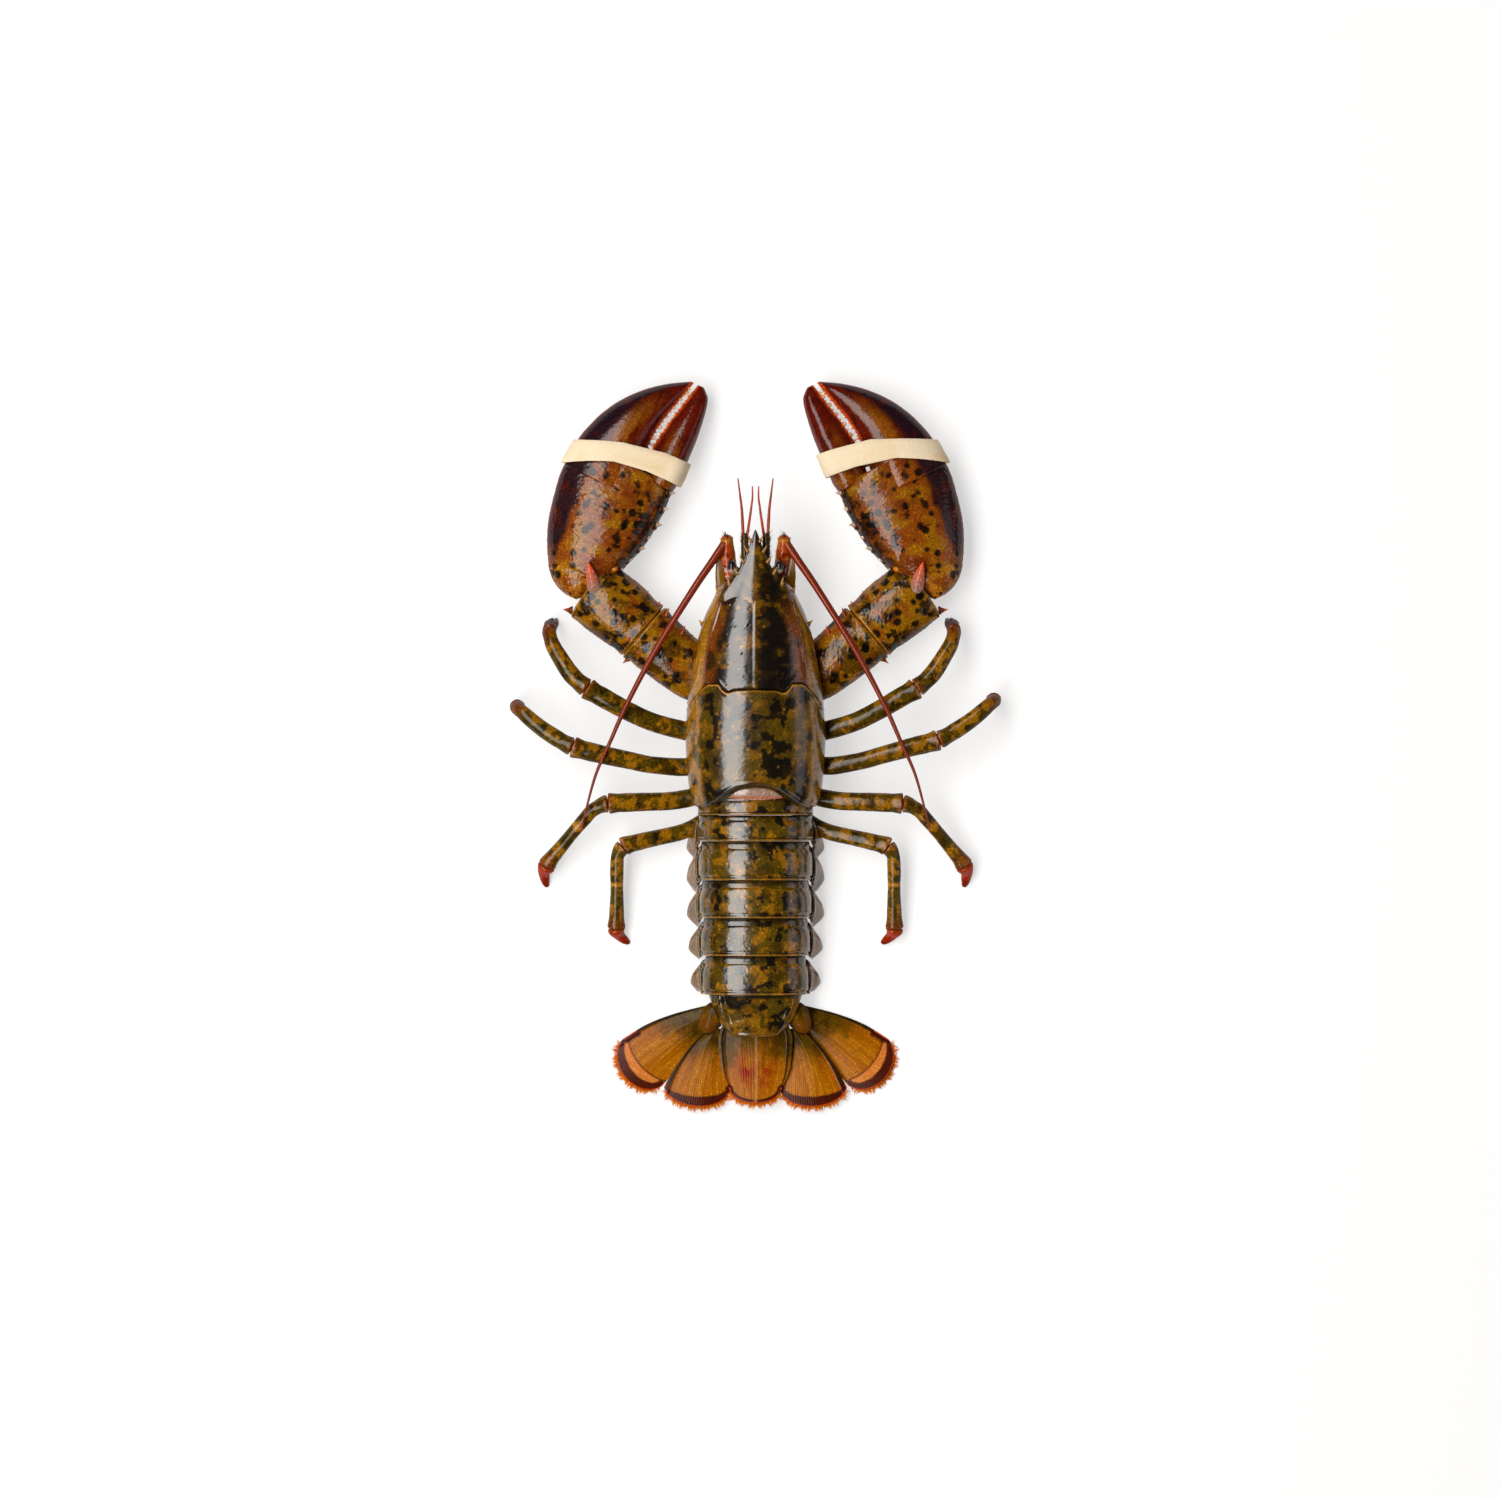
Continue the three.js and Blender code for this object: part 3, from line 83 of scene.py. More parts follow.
# Claws lie along s, from the wrist to the tip, with q outwards.
CLAW_JOINT = (-69.3, 69.7)
CLAW_ANGLE = 64.1
CLAW_LENGTH = 99.7
CLAW_OUTER = [(-9, 11.4), (-8.2, 15), (-3.7, 21.7), (7.9, 29), (16.3, 32.5), (28.3, 35.4), (40.1, 37.2),
              (54.7, 36.6), (65.9, 33.8), (74.7, 29.8), (81.7, 25.1), (86.4, 21), (92.7, 14), (97, 7.6),
              (98.7, 4.6), (99.7, 3)]
PALM_INNER = [(-9, 6.4), (-4, 2.5), (3, -2), (9.8, -5.6), (15, -7.2), (20, -8.8), (27, -10.4), (36, -11.3),
              (44, -11.4), (50, -10.6), (53, -8), (55, -3)]
FINGER_INNER = [(38, 4), (53, 5.6), (66, 7.4), (72, 7.4), (79, 6.5), (88, 4.4), (99.7, 1.7)]
CLAW_HEIGHT = [(-9, 4.6), (-4, 7.6), (3, 10), (12, 12), (25, 13), (35, 12.3), (45, 10.9), (55, 10),
               (65, 9.4), (75, 8.1), (88, 5.6), (95, 3.6), (99.7, 1.2)]
THUMB_OUTER = [(46, -10.2), (52, -10.9), (57, -11.7), (68, -11.2), (75, -10.8), (83, -9.9), (91, -8.5),
               (96, -7), (98.6, -4.6), (99.7, -3.2)]
THUMB_INNER = [(46, 3.6), (53, 3.9), (60, 4.9), (66, 5.3), (78, 3.8), (87, 2.1), (99.7, -.4)]
THUMB_HEIGHT = [(46, 7), (54, 8.6), (62, 8.8), (75, 7.2), (88, 5), (96, 3), (99.7, 1.1)]
CLAW_LEVEL = [(-9, 13.2), (10, 12.6), (52, 12.6), (75, 11.4), (99.7, 8.6)]
OUTER_THINNING = .22
PALM_SPINES = [(51, -9.6, 3.4), (43.4, -10.2, 3), (35.7, -10.4, 3.6), (29, -9.2, 2.6), (23.2, -8.2, 3.8),
               (16.8, -6, 3), (11, -3.8, 2.8)]
FINGER_TEETH = [59, 62, 64.5, 67, 70, 72.6, 75.5, 78, 81, 83.4, 86, 88.2, 90.5, 92.6, 94.5, 96.4]
THUMB_TEETH = [61.5, 64, 67, 69.6, 72.5, 75, 78, 80.6, 83.5, 86, 88.5, 90.8, 93, 95.2]
BAND_REAR = [(-13, 55.5), (0, 55.2), (12.9, 53.9), (25, 49.4), (38.5, 42.4)]
BAND_FRONT = [(-13, 66.6), (6.3, 65.4), (21, 60.8), (38.5, 53.8)]
BAND_CLEARANCE = .8
BAND_LEAN = {"left": 0.0, "right": 4.4}

# Limbs: x, y, z, half width and half height at each station of the left one.
UPPER_ARM = [(-13, 21, 10.5, 6.5, 5), (-20, 26, 11.5, 9.5, 6.4), (-28.5, 32.6, 13, 12.2, 8.4),
             (-39, 41.2, 14, 13.2, 9.6), (-49.5, 50.4, 14, 14, 10.2)]
WRIST = [(-49.5, 50.4, 14, 13.6, 9.9), (-60.5, 59.6, 13.8, 14.9, 10.9), (-68.5, 65.6, 13.5, 15, 10.6),
         (-73, 69, 13, 14, 8.8)]
ARM_SPINES = [(-33, 47.6, 19, (.35, .9, .35), 6, 2), (-39.6, 56.6, 18.4, (.35, .9, .3), 4.6, 1.7),
              (-56.4, 38, 14, (-.7, -.6, .1), 3, 1.3)]
WRIST_SPINES = [(-43.8, 60, 17, (.45, .85, .2), 4.2, 1.6), (-48.6, 64.6, 16, (.4, .9, .2), 4, 1.5),
                (-52.6, 68, 15, (.35, .9, .2), 4, 1.5), (-81.6, 59.6, 14, (-.85, .1, .1), 3.4, 1.7)]
THORN = ((-70.6, 68.6, 20.6), (-3.4, 14, 8), 16.4, 3.4)
LEGS = [
    ([(-14, 4, 10, 4, 4), (-23, 5, 12.5, 4.2, 4.2), (-31.6, 6.6, 14.8, 4.2, 4.2), (-45.1, 10.2, 17, 4.1, 4),
      (-56.3, 15.2, 18.6, 4.2, 4), (-67.5, 21.3, 19.6, 4.4, 4.1), (-74.3, 25.3, 19.8, 4.6, 4.2),
      (-80.8, 31, 19.4, 3.9, 3.7), (-86, 38.6, 18.6, 3.6, 3.4), (-89.8, 45.6, 17.2, 3.3, 3.2),
      (-91, 50.6, 13.4, 2.9, 2.9), (-90.2, 53.6, 7.6, 2.7, 2.5), (-89.4, 55.2, 3.4, 1.9, 1.6),
      (-89, 56, .5, 1.1, .9)], 6, 10, (-3.4, 0)),
    ([(-14, -6, 10, 4, 4), (-23, -8, 12.5, 4, 4), (-32.2, -9.5, 14.6, 4, 4), (-45.1, -8.6, 16.8, 3.8, 3.8),
      (-56.3, -6.4, 18, 3.9, 3.8), (-67.5, -4, 18.8, 4.1, 4), (-80.7, -.5, 19, 4.4, 4.2),
      (-88, 3.5, 18.8, 3.7, 3.5), (-95, 8.2, 18.4, 3.5, 3.4), (-102.6, 14.6, 17.2, 3.2, 3.1),
      (-105.2, 17, 12.8, 2.9, 2.9), (-105.2, 18, 7.4, 2.7, 2.5), (-105.2, 18.4, 3.2, 1.9, 1.6),
      (-105.2, 18.8, .5, 1.1, .9)], 6, 10, (0, 3)),
    ([(-13, -14.4, 9.8, 3.6, 3.6), (-21, -19.2, 9.8, 3.8, 3.7), (-29.5, -23.2, 10.6, 4, 3.8),
      (-39.6, -24.6, 12.8, 4, 3.8), (-50.4, -24.9, 14, 4.1, 3.9), (-65, -25.6, 15, 4.3, 4),
      (-71.6, -28.4, 14.4, 3.1, 3), (-75.5, -32.6, 13.6, 3, 2.9), (-80.2, -38, 12.2, 2.8, 2.7),
      (-86, -45, 9.4, 3, 2.7), (-92.2, -53, 6.4, 3.7, 3), (-93.4, -56.4, 4, 2.8, 2.2),
      (-93, -60, 1.9, 1.9, 1.4), (-92.2, -62.6, .8, .8, .6)], 5, 10, (0, 0)),
    ([(-9.6, -20.6, 7, 3, 2.8), (-17, -27.2, 6.7, 3.1, 2.9), (-24, -33.8, 6.7, 3.3, 3.1),
      (-32.5, -38.2, 8, 3.5, 3.3), (-42, -40.4, 9.6, 3.5, 3.3), (-50.4, -42.3, 10.8, 3.7, 3.5),
      (-58.4, -44.8, 11.4, 4, 3.7), (-61, -50, 11, 3, 2.9), (-61.2, -56, 10.4, 3, 2.9),
      (-61.2, -62.4, 9.4, 2.8, 2.6), (-61.3, -72, 7.4, 3.2, 2.7), (-61.5, -80.7, 5.4, 3.7, 2.9),
      (-60.2, -83.8, 3.4, 2.7, 2), (-58, -86, 1.8, 1.9, 1.3), (-55.8, -87.6, .8, .8, .6)], 6, 11, (0, 0)),
]

# Tail rings: front, rear, half width, crest, level of the sides, underside, how much of RING_WIDE's
# narrowing the ring has, and the reach, tip y and tip x of its side lobes.
RINGS = [
    (-22.7, -30.6, 25.4, 37.4, 18, 15.4, .2, None),
    (-30.6, -42, 25.6, 36.9, 16, 10.8, .5, (30.5, -50.6, 27.6)),
    (-42, -59.2, 25.2, 35.2, 15, 7.4, 1, (30.5, -65, 27.6)),
    (-59.2, -75.9, 24.8, 32.6, 14, 6.8, 1, (30.4, -80.4, 26.6)),
    (-75.9, -92.6, 24.2, 29.6, 13, 6.4, 1, (29.7, -94.6, 25.8)),
    (-92.6, -109.8, 23.4, 26.2, 12, 6, 1, (28.8, -109.2, 26.2)),
]
RING_WIDE = [(0, .94), (.45, 1), (.75, 1), (1, .96)]
RING_RISE = [(0, .91), (.2, .956), (.5, .994), (.85, 1), (1, .987)]
RING_OUT = [(90, 1), (97, .985), (112, .95), (128, .8), (154, .4), (180, 0)]
RING_DOWN = [(90, 0), (97, .3), (112, .86), (128, 1), (154, .9), (180, .86)]
LAST_HALF = [(-128.7, 8), (-126, 12.4), (-122, 15.8), (-117, 18.4), (-109.8, 20.6)]
LAST_CREST = [(-128.7, 13.6), (-120, 17.4), (-109.8, 22.4)]

# Blades of the tail fan: two edge lines, how far the end bulges, and heights from root to end.
OUTER_BLADE = {"near": [(-19, -114.4), (-36, -118.8), (-48, -123.4), (-58.6, -129.8)],
               "far": [(-15, -124), (-23, -130.4), (-32, -140), (-41, -150.4)],
               "bulge": (-7.8, -7.2), "under": (0, 0, 0), "thick": (2.5, 2.2, 1.5), "camber": .9}
INNER_BLADE = {"near": [(-19.4, -124.4), (-27.6, -132), (-34.8, -141.4), (-40.4, -150.8)],
               "far": [(-12.6, -126), (-13.6, -134), (-13, -143), (-11, -152)],
               "bulge": (0, -8.4), "under": (2.9, 3.2, 3), "thick": (2.2, 1.9, 1.4), "camber": .8}
TELSON = {"near": [(-12, -118), (-16.4, -130), (-15.4, -142), (-11.4, -152)],
          "far": [(12, -118), (16.4, -130), (15.4, -142), (11.4, -152)],
          "bulge": (0, -6.2), "under": (6.8, 6, 5.6), "thick": (5.4, 3.4, 1.6), "camber": .8}
SEAM_CENTRE = (-32.4, -125.3)
SEAM_RADIUS = 24.6
FAN_ROOT = [(-13, -114.6, 8, 4, 3.4), (-18.6, -118.6, 6.6, 5, 3.8), (-20.4, -123.4, 5.6, 4.6, 3.2),
            (-19.4, -126.6, 5, 2.6, 2)]

FEELER_STEM = [(-10.8, 64, 22.6, 4, 4), (-11.4, 72, 23.6, 3.9, 3.9), (-11.8, 79, 25.2, 3.5, 3.3),
               (-12.1, 82, 26, 3.6, 3.4), (-12.4, 87, 27.6, 3.1, 3), (-12.7, 90.8, 28.6, 2.6, 2.6),
               (-12.9, 92.4, 29, 1.4, 1.4)]
FEELER_SCALE = [(-14.4, 66, 25, 2.6, 1), (-15, 73, 26, 2.6, .9), (-15.8, 78.4, 26.8, 1.7, .8),
                (-16.4, 83.4, 27.6, .5, .4)]
FEELER_WHIP = [(-13.2, 89.2, 28.8, 1.9), (-14.7, 86.9, 29.4, 1.9), (-19.4, 80, 30.3, 1.75),
               (-24.4, 72.8, 30.8, 1.65), (-31, 62.6, 30.9, 1.55), (-37.6, 52.1, 30.5, 1.45),
               (-44.2, 41.1, 29.8, 1.35), (-51.9, 27.1, 28.4, 1.2), (-58.7, 13.4, 26.8, 1.05),
               (-63.6, 2.2, 25.3, .9), (-70.2, -12.8, 22.8, .7), (-74.1, -26.5, 20.6, .5),
               (-77, -38.2, 18.6, .3)]
SMALL_FEELER = [(-4.2, 68, 28.6, 2.3, 2.3), (-4.4, 76, 29.6, 2.1, 2.1), (-4.5, 83, 30.8, 1.8, 1.8),
                (-4.7, 89, 32, 1.7, 1.7), (-4.8, 93, 32.8, 1.4, 1.4)]
SMALL_OUTER = [(-5.3, 90.4, 32.4, .7, .7), (-5.6, 96, 33.6, .7, .7), (-6, 103, 35, .6, .6),
               (-6.9, 110.6, 36.2, .45, .45), (-7.7, 117, 37, .27, .27)]
SMALL_INNER = [(-4, 90.4, 32.6, .65, .65), (-2.9, 97, 34.4, .6, .6), (-1.9, 104, 36.2, .5, .5),
               (-1.3, 109.4, 37.4, .4, .4), (-1.4, 113.5, 38.2, .26, .26)]
EYE_CENTRE = (-10.4, 78.2, 33.4)
EYE_RADIUS = 3.0
EYE_STALK = [(-4.6, 70, 31.4, 2, 1.8), (-7.4, 75, 32.4, 1.8, 1.7), (-9.6, 77.4, 33.2, 2.1, 2)]
JAW_LEG = [(-5.4, 43, 10, 3, 2.8), (-7.6, 50, 7, 3.2, 2.7), (-9, 60, 6.4, 2.9, 2.4),
           (-8.2, 68, 8.6, 2.5, 2.2), (-6.4, 73, 12.4, 2, 1.9), (-5, 75.4, 16, 1, 1)]


# Numbers and fields

def arch_waves(angle):
    """The sine and cosine of an angle in degrees, each to the power ARCH_POWER."""
    angle = np.radians(angle)
    return np.clip(np.sin(angle), 0, 1) ** ARCH_POWER, np.clip(np.cos(angle), 0, 1) ** ARCH_POWER


def curve(keys):
    """The smooth line through (t, value) keys that never overshoots: cubic pieces whose slope at a
    key is the harmonic mean of the slopes on its two sides, or none where they differ in sign."""
    t, v = np.array(keys, float).T
    rise = np.diff(v) / np.diff(t)
    slope = np.concatenate([rise[:1], np.zeros(len(v) - 2), rise[-1:]])
    same = rise[:-1] * rise[1:] > 0
    slope[1:-1] = np.where(same, 2 * rise[:-1] * rise[1:] / np.where(same, rise[:-1] + rise[1:], 1), 0)

    def at(x):
        x = np.clip(x, t[0], t[-1])
        i = np.clip(np.searchsorted(t, x, side="right") - 1, 0, len(t) - 2)
        w = t[i + 1] - t[i]
        u = (x - t[i]) / w
        return ((2 * u ** 3 - 3 * u ** 2 + 1) * v[i] + (u ** 3 - 2 * u ** 2 + u) * w * slope[i]
                + (3 * u ** 2 - 2 * u ** 3) * v[i + 1] + (u ** 3 - u ** 2) * w * slope[i + 1])
    return at


def mix(a, b, share):
    """a where share is 0, b where it is 1, and between them in proportion."""
    share = np.asarray(share, float)
    if np.ndim(a) and np.shape(a)[-1:] == (3,) and share.shape[-1:] != (3,):
        share = share[..., None]
    return np.asarray(a) * (1 - share) + np.asarray(b) * share


def step(low, high, x):
    """0 below low, 1 above high, and the smooth curve 3u^2 - 2u^3 between them."""
    u = np.clip((x - low) / (high - low), 0, 1)
    return u * u * (3 - 2 * u)


def hill(x, width):
    """The bell curve exp(-(x / width)^2)."""
    return np.exp(-(x / width) ** 2)


def chance(i, j, k, seed):
    """A fixed random number from 0 to 1 for each whole-number cell: the fraction of a large sine."""
    h = np.sin(i * 127.1 + j * 311.7 + k * 74.7 + seed * 53.3) * 43758.5453
    return h - np.floor(h)


def cloud(p, size, seed=0, layers=3):
    """Cloudy noise from 0 to 1 about cells of that size: each cell corner has a random number, mixed
    by smooth weights, and each further layer is twice as fine and half as strong."""
    total = weight = 0
    for layer in range(layers):
        q = p / size * 2 ** layer + 17.3 * layer
        cell = np.floor(q)
        f = q - cell
        f = f * f * (3 - 2 * f)
        value = 0
        for a in (0, 1):
            for b in (0, 1):
                for c in (0, 1):
                    share = (f[..., 0] if a else 1 - f[..., 0]) * (f[..., 1] if b else 1 - f[..., 1])
                    share = share * (f[..., 2] if c else 1 - f[..., 2])
                    value = value + share * chance(
                        cell[..., 0] + a, cell[..., 1] + b, cell[..., 2] + c, seed + layer)
        total, weight = total + value * .5 ** layer, weight + .5 ** layer
    return total / weight


def nearest(p, size, seed=0, scatter=.8):
    """The distance to the nearest of the points scattered one to each cube of that size, and that
    point's own random number."""
    q = p / size
    base = np.floor(q)
    best, tag = np.full(p.shape[:-1], 9.0), np.zeros(p.shape[:-1])
    for a in (-1, 0, 1):
        for b in (-1, 0, 1):
            for c in (-1, 0, 1):
                cell = base + (a, b, c)
                i, j, k = cell[..., 0], cell[..., 1], cell[..., 2]
                spot = cell + .5 + scatter * (
                    np.stack([chance(i, j, k, seed + n) for n in (1, 2, 3)], -1) - .5)
                d = np.linalg.norm(spot - q, axis=-1)
                tag = np.where(d < best, chance(i, j, k, seed + 4), tag)
                best = np.minimum(best, d)
    return best * size, tag


def spots(p, size, radius, share, seed=0):
    """1 inside round spots with slightly ragged rims, 0 outside. share says how many cells have one."""
    d, tag = nearest(p, size, seed)
    reach = radius * (.55 + .6 * np.minimum(tag / share, 1))
    ragged = .35 * (cloud(p, 1.2, seed + 9, 2) - .5) * radius
    return np.where(tag < share, step(reach + .25, reach - .25, d + ragged), 0)


def blotches(p, size, level, seed=0, soft=.07):
    """1 inside cloudy blotches, where the noise is over the level, and 0 outside."""
    return step(level, level + soft, cloud(p, size, seed, 4))


# Surfaces

class Skin:
    """A closed piece of surface: points in mm, triangles, a colour for each point and its fringe map."""

    def __init__(self, points, triangles, colour, roots=None):
        p, q, r = (points[triangles[:, k]] for k in range(3))
        if (p * np.cross(q, r)).sum() < 0:
            triangles = triangles[:, ::-1]
        self.points, self.triangles = points, triangles
        self.colour = np.broadcast_to(colour, points.shape)
        self.roots = roots


def normals(grid, ring=True):
    """Unit normals of a grid of points: the cross product of the steps along its two directions,
    turned away from the middle of each row."""
    along = np.gradient(grid, axis=0)
    around = np.roll(grid, -1, 1) - np.roll(grid, 1, 1) if ring else np.gradient(grid, axis=1)
    n = np.cross(around, along)
    n /= np.maximum(np.linalg.norm(n, axis=-1, keepdims=True), 1e-9)
    out = grid - grid.mean(axis=1, keepdims=True)
    return n if (n * out).sum() > 0 else -n


def raised(grid, height, ring=True):
    """The grid moved along its normals by a height for each point."""
    return grid + normals(grid, ring) * np.asarray(height)[..., None]


def closed_rings(grid, colour):
    """A row of rings joined ring to ring, and closed at either end by a fan to the ring's middle."""
    rows, around = grid.shape[:2]
    colour = np.broadcast_to(colour, grid.shape)
    points = np.concatenate([grid.reshape(-1, 3), grid[:1].mean(1), grid[-1:].mean(1)])
    colours = np.concatenate([colour.reshape(-1, 3), colour[:1].mean(1), colour[-1:].mean(1)])
    i, j = np.arange(rows - 1)[:, None] * around, np.arange(around)[None]
    k = (j + 1) % around
    a, b, c, d = (x.ravel() for x in (i + j, i + k, i + around + k, i + around + j))
    j, k = j.ravel(), k.ravel()
    last = (rows - 1) * around
    first_cap = np.stack([np.full(around, rows * around), k, j], 1)
    last_cap = np.stack([np.full(around, rows * around + 1), last + j, last + k], 1)
    return Skin(points, np.concatenate(
        [np.stack([a, b, c], 1), np.stack([a, c, d], 1), first_cap, last_cap]), colours)


def looped_rings(grid, colour):
    """A row of rings whose last joins its first, as in an elastic band."""
    rows, around = grid.shape[:2]
    i, j = np.meshgrid(np.arange(rows), np.arange(around), indexing="ij")
    n, k = (i + 1) % rows * around, (j + 1) % around
    i = i * around
    a, b, c, d = (x.ravel() for x in (i + j, i + k, n + k, n + j))
    return Skin(grid.reshape(-1, 3), np.concatenate([np.stack([a, b, c], 1), np.stack([a, c, d], 1)]),
                colour.reshape(-1, 3))


def walled(outer, inner, outer_colour, inner_colour):
    """Two open grids that lie face to face, joined all round their border."""
    rows, columns = outer.shape[:2]
    index = np.arange(rows * columns).reshape(rows, columns)
    a, b, c, d = (x.ravel() for x in (index[:-1, :-1], index[:-1, 1:], index[1:, 1:], index[1:, :-1]))
    sheet = np.concatenate([np.stack([a, b, c], 1), np.stack([a, c, d], 1)])
    size = rows * columns
    edge = np.concatenate([index[0], index[1:, -1], index[-1, -2::-1], index[-2:0:-1, 0]])
    follow = np.roll(edge, -1)
    wall = np.concatenate([np.stack([edge, edge + size, follow + size], 1),
                           np.stack([edge, follow + size, follow], 1)])
    points = np.concatenate([outer.reshape(-1, 3), inner.reshape(-1, 3)])
    colours = np.concatenate([np.broadcast_to(outer_colour, outer.shape).reshape(-1, 3),
                              np.broadcast_to(inner_colour, inner.shape).reshape(-1, 3)])
    return Skin(points, np.concatenate([sheet, sheet[:, ::-1] + size, wall]), colours)


def frames(path, up=(0, 0, 1)):
    """The directions along a path, level across it and over it, at each of its points."""
    along = np.gradient(path, axis=0)
    along /= np.linalg.norm(along, axis=1, keepdims=True)
    across = np.cross(along, up)
    across /= np.maximum(np.linalg.norm(across, axis=1, keepdims=True), 1e-6)
    return along, across, np.cross(across, along)


def studs(base, direction, length, radius, root_colour, tip_colour, shape="spine", faces=7):
    """Many spines, teeth or hairs as one skin: each is a stack of rings whose radius falls from the
    root to the tip, straight for a hair, hollow-sided for a spine, and round for a tooth or thorn."""
    base, direction = np.atleast_2d(base).astype(float), np.atleast_2d(direction).astype(float)
    count = len(base)
    direction = direction / np.linalg.norm(direction, axis=1, keepdims=True)
    length, radius = (np.broadcast_to(np.asarray(x, float), count)[:, None, None, None]
                      for x in (length, radius))
    levels = {"spine": [(-.25, 1.25), (0, 1), (.25, .66), (.55, .38), (.82, .17), (1, .03)],
              "tooth": [(-.4, .9), (0, 1), (.4, .9), (.75, .62), (.95, .3), (1, .06)],
              "thorn": [(-.25, 1.1), (0, 1), (.2, .95), (.45, .78), (.7, .5), (.88, .24), (1, .04)],
              "hair": [(-.05, 1), (.5, .6), (1, .05)]}[shape]
    side = np.cross(direction, (.31, .17, .93))
    side /= np.linalg.norm(side, axis=1, keepdims=True)
    over = np.cross(direction, side)
    turn = np.arange(faces) * 2 * np.pi / faces
    ring = side[:, None, None] * np.cos(turn)[:, None] + over[:, None, None] * np.sin(turn)[:, None]
    at, wide = np.array(levels).T[:, None, :, None, None]
    grid = base[:, None, None] + direction[:, None, None] * at * length + ring * wide * radius
    rows = len(levels)
    each = rows * faces
    points = np.concatenate([grid.reshape(count, -1, 3),
                             base[:, None] - .1 * direction[:, None] * length[:, 0],
                             grid[:, -1].mean(1)[:, None]], 1)
    i, j = np.meshgrid(np.arange(rows - 1) * faces, np.arange(faces), indexing="ij")
    k = (j + 1) % faces
    a, b, c, d = (x.ravel() for x in (i + j, i + k, i + faces + k, i + faces + j))
    j = np.arange(faces)
    caps = [np.stack([np.full(faces, each), (j + 1) % faces, j], 1),
            np.stack([np.full(faces, each + 1), each - faces + j, each - faces + (j + 1) % faces], 1)]
    one = np.concatenate([np.stack([a, b, c], 1), np.stack([a, c, d], 1), *caps])
    triangles = (one[None] + (each + 2) * np.arange(count)[:, None, None]).reshape(-1, 3)
    share = np.concatenate([np.repeat(np.clip(np.array(levels)[:, 0], 0, 1), faces), [0, 1]])
    colour = mix(np.broadcast_to(root_colour, (count, 1, 3)), np.broadcast_to(tip_colour, (count, 1, 3)),
                 share[None])
    return Skin(points.reshape(-1, 3), triangles, colour.reshape(-1, 3), np.repeat(base, each + 2, 0))


def turned(rows, side):
    """Left-side stations as they are on that side."""
    return [(-side * x, *rest) for x, *rest in rows]


def limb_grid(stations, first, last, around, spacing, ends=(.9, .9), flare=.1, round_to=.55):
    """A limb's surface from one station to another: ellipses square to a smooth path through the
    stations, a little swollen and rounded over at both ends. Also the distance from either end."""
    rows = np.array(stations, float)
    reach = np.concatenate([[0], np.cumsum(np.linalg.norm(np.diff(rows[:, :3], axis=0), axis=1))])
    low, high = reach[first], reach[last]
    count = max(12, int((high - low) / spacing))
    t = low + (high - low) * (.5 - .5 * np.cos(np.linspace(0, np.pi, count))) * .35 + (
        high - low) * np.linspace(0, 1, count) * .65
    x, y, z, half, rise = (curve(np.stack([reach, rows[:, k]], 1))(t) for k in range(5))
    path = np.stack([x, y, z], 1)
    _, across, over = frames(path)
    near, far = t - low, high - t
    swell = 1 + flare * (hill(near, 2.4) + hill(far, 2.4)) - .4 * flare * (
        hill(near - 5, 1.8) + hill(far - 5, 1.8))
    for distance, size in ((near, ends[0]), (far, ends[1])):
        if size:
            u = np.clip(1 - distance / size, 0, 1)
            swell = swell * (round_to + (1 - round_to) * np.sqrt(1 - u * u))
    turn = np.arange(around) * 2 * np.pi / around
    grid = (path[:, None] + across[:, None] * (half * swell)[:, None, None] * np.cos(turn)[None, :, None]
            + over[:, None] * (rise * swell)[:, None, None] * np.sin(turn)[None, :, None])
    return grid, np.broadcast_to(near[:, None], grid.shape[:2]), np.broadcast_to(
        far[:, None], grid.shape[:2])


# Pieces and finishes

def linear(hex_colour):
    """A colour as light, from its six-figure screen code."""
    c = np.array([int(hex_colour[i:i + 2], 16) for i in (1, 3, 5)]) / 255
    return np.where(c <= .04045, c / 12.92, ((c + .055) / 1.055) ** 2.4)


def colour_property(name, description, code):
    return FloatVectorProperty(name=name, description=description, subtype="COLOR", min=0, max=1,
                               default=tuple(linear(code)))


def length_property(name, description, millimetres):
    return FloatProperty(name=name, description=description, default=millimetres / 1000, min=0,
                         unit="LENGTH",
                         subtype="DISTANCE", precision=5)


class LobsterColours(bpy.types.PropertyGroup):
    """Colours of the shell's markings"""
    olive: colour_property("Olive", "Ground of the back and tail", "#4c3904")
    ochre: colour_property("Ochre", "Patches and flanks of the shell", "#865806")
    amber: colour_property("Amber", "Palest patches and shell rims", "#b47a1a")
    black: colour_property("Black", "Blotches and spots", "#0a0806")
    brown: colour_property("Brown", "Ground of the head", "#281604")
    rust: colour_property("Rust", "Ground of the claws", "#7a3b08")
    orange: colour_property("Orange", "Spine tips, gap edges and cheek lines", "#c4460a")
    mahogany: colour_property("Mahogany", "Fingers of the claws", "#541004")
    violet: colour_property("Violet black", "Outer margin of the claws", "#1d0f16")
    maroon: colour_property("Maroon", "Border of the tail fan", "#420d08")
    salmon: colour_property("Salmon", "Outer lobe of the side blades", "#cf8038")
    fan: colour_property("Fan", "Middle of the fan's blades", "#a05a02")
    fringe: colour_property("Fringe", "Hairs of the tail fan", "#ea8410")
    skin: colour_property("Hinge skin", "Pale skin between shell and tail", "#ad9080")
    horn: colour_property("Teeth", "Teeth between the fingers", "#efe8dc")
    feeler: colour_property("Feeler", "Long feelers", "#7a2408")
    toe: colour_property("Toe", "Ends of the back legs", "#9a2606")
    eye: colour_property("Eye", "Eyes", "#0b080c")
    band: colour_property("Band", "Elastic bands", "#e9d6b6")
    belly: colour_property("Belly", "Underside", "#6c5020")


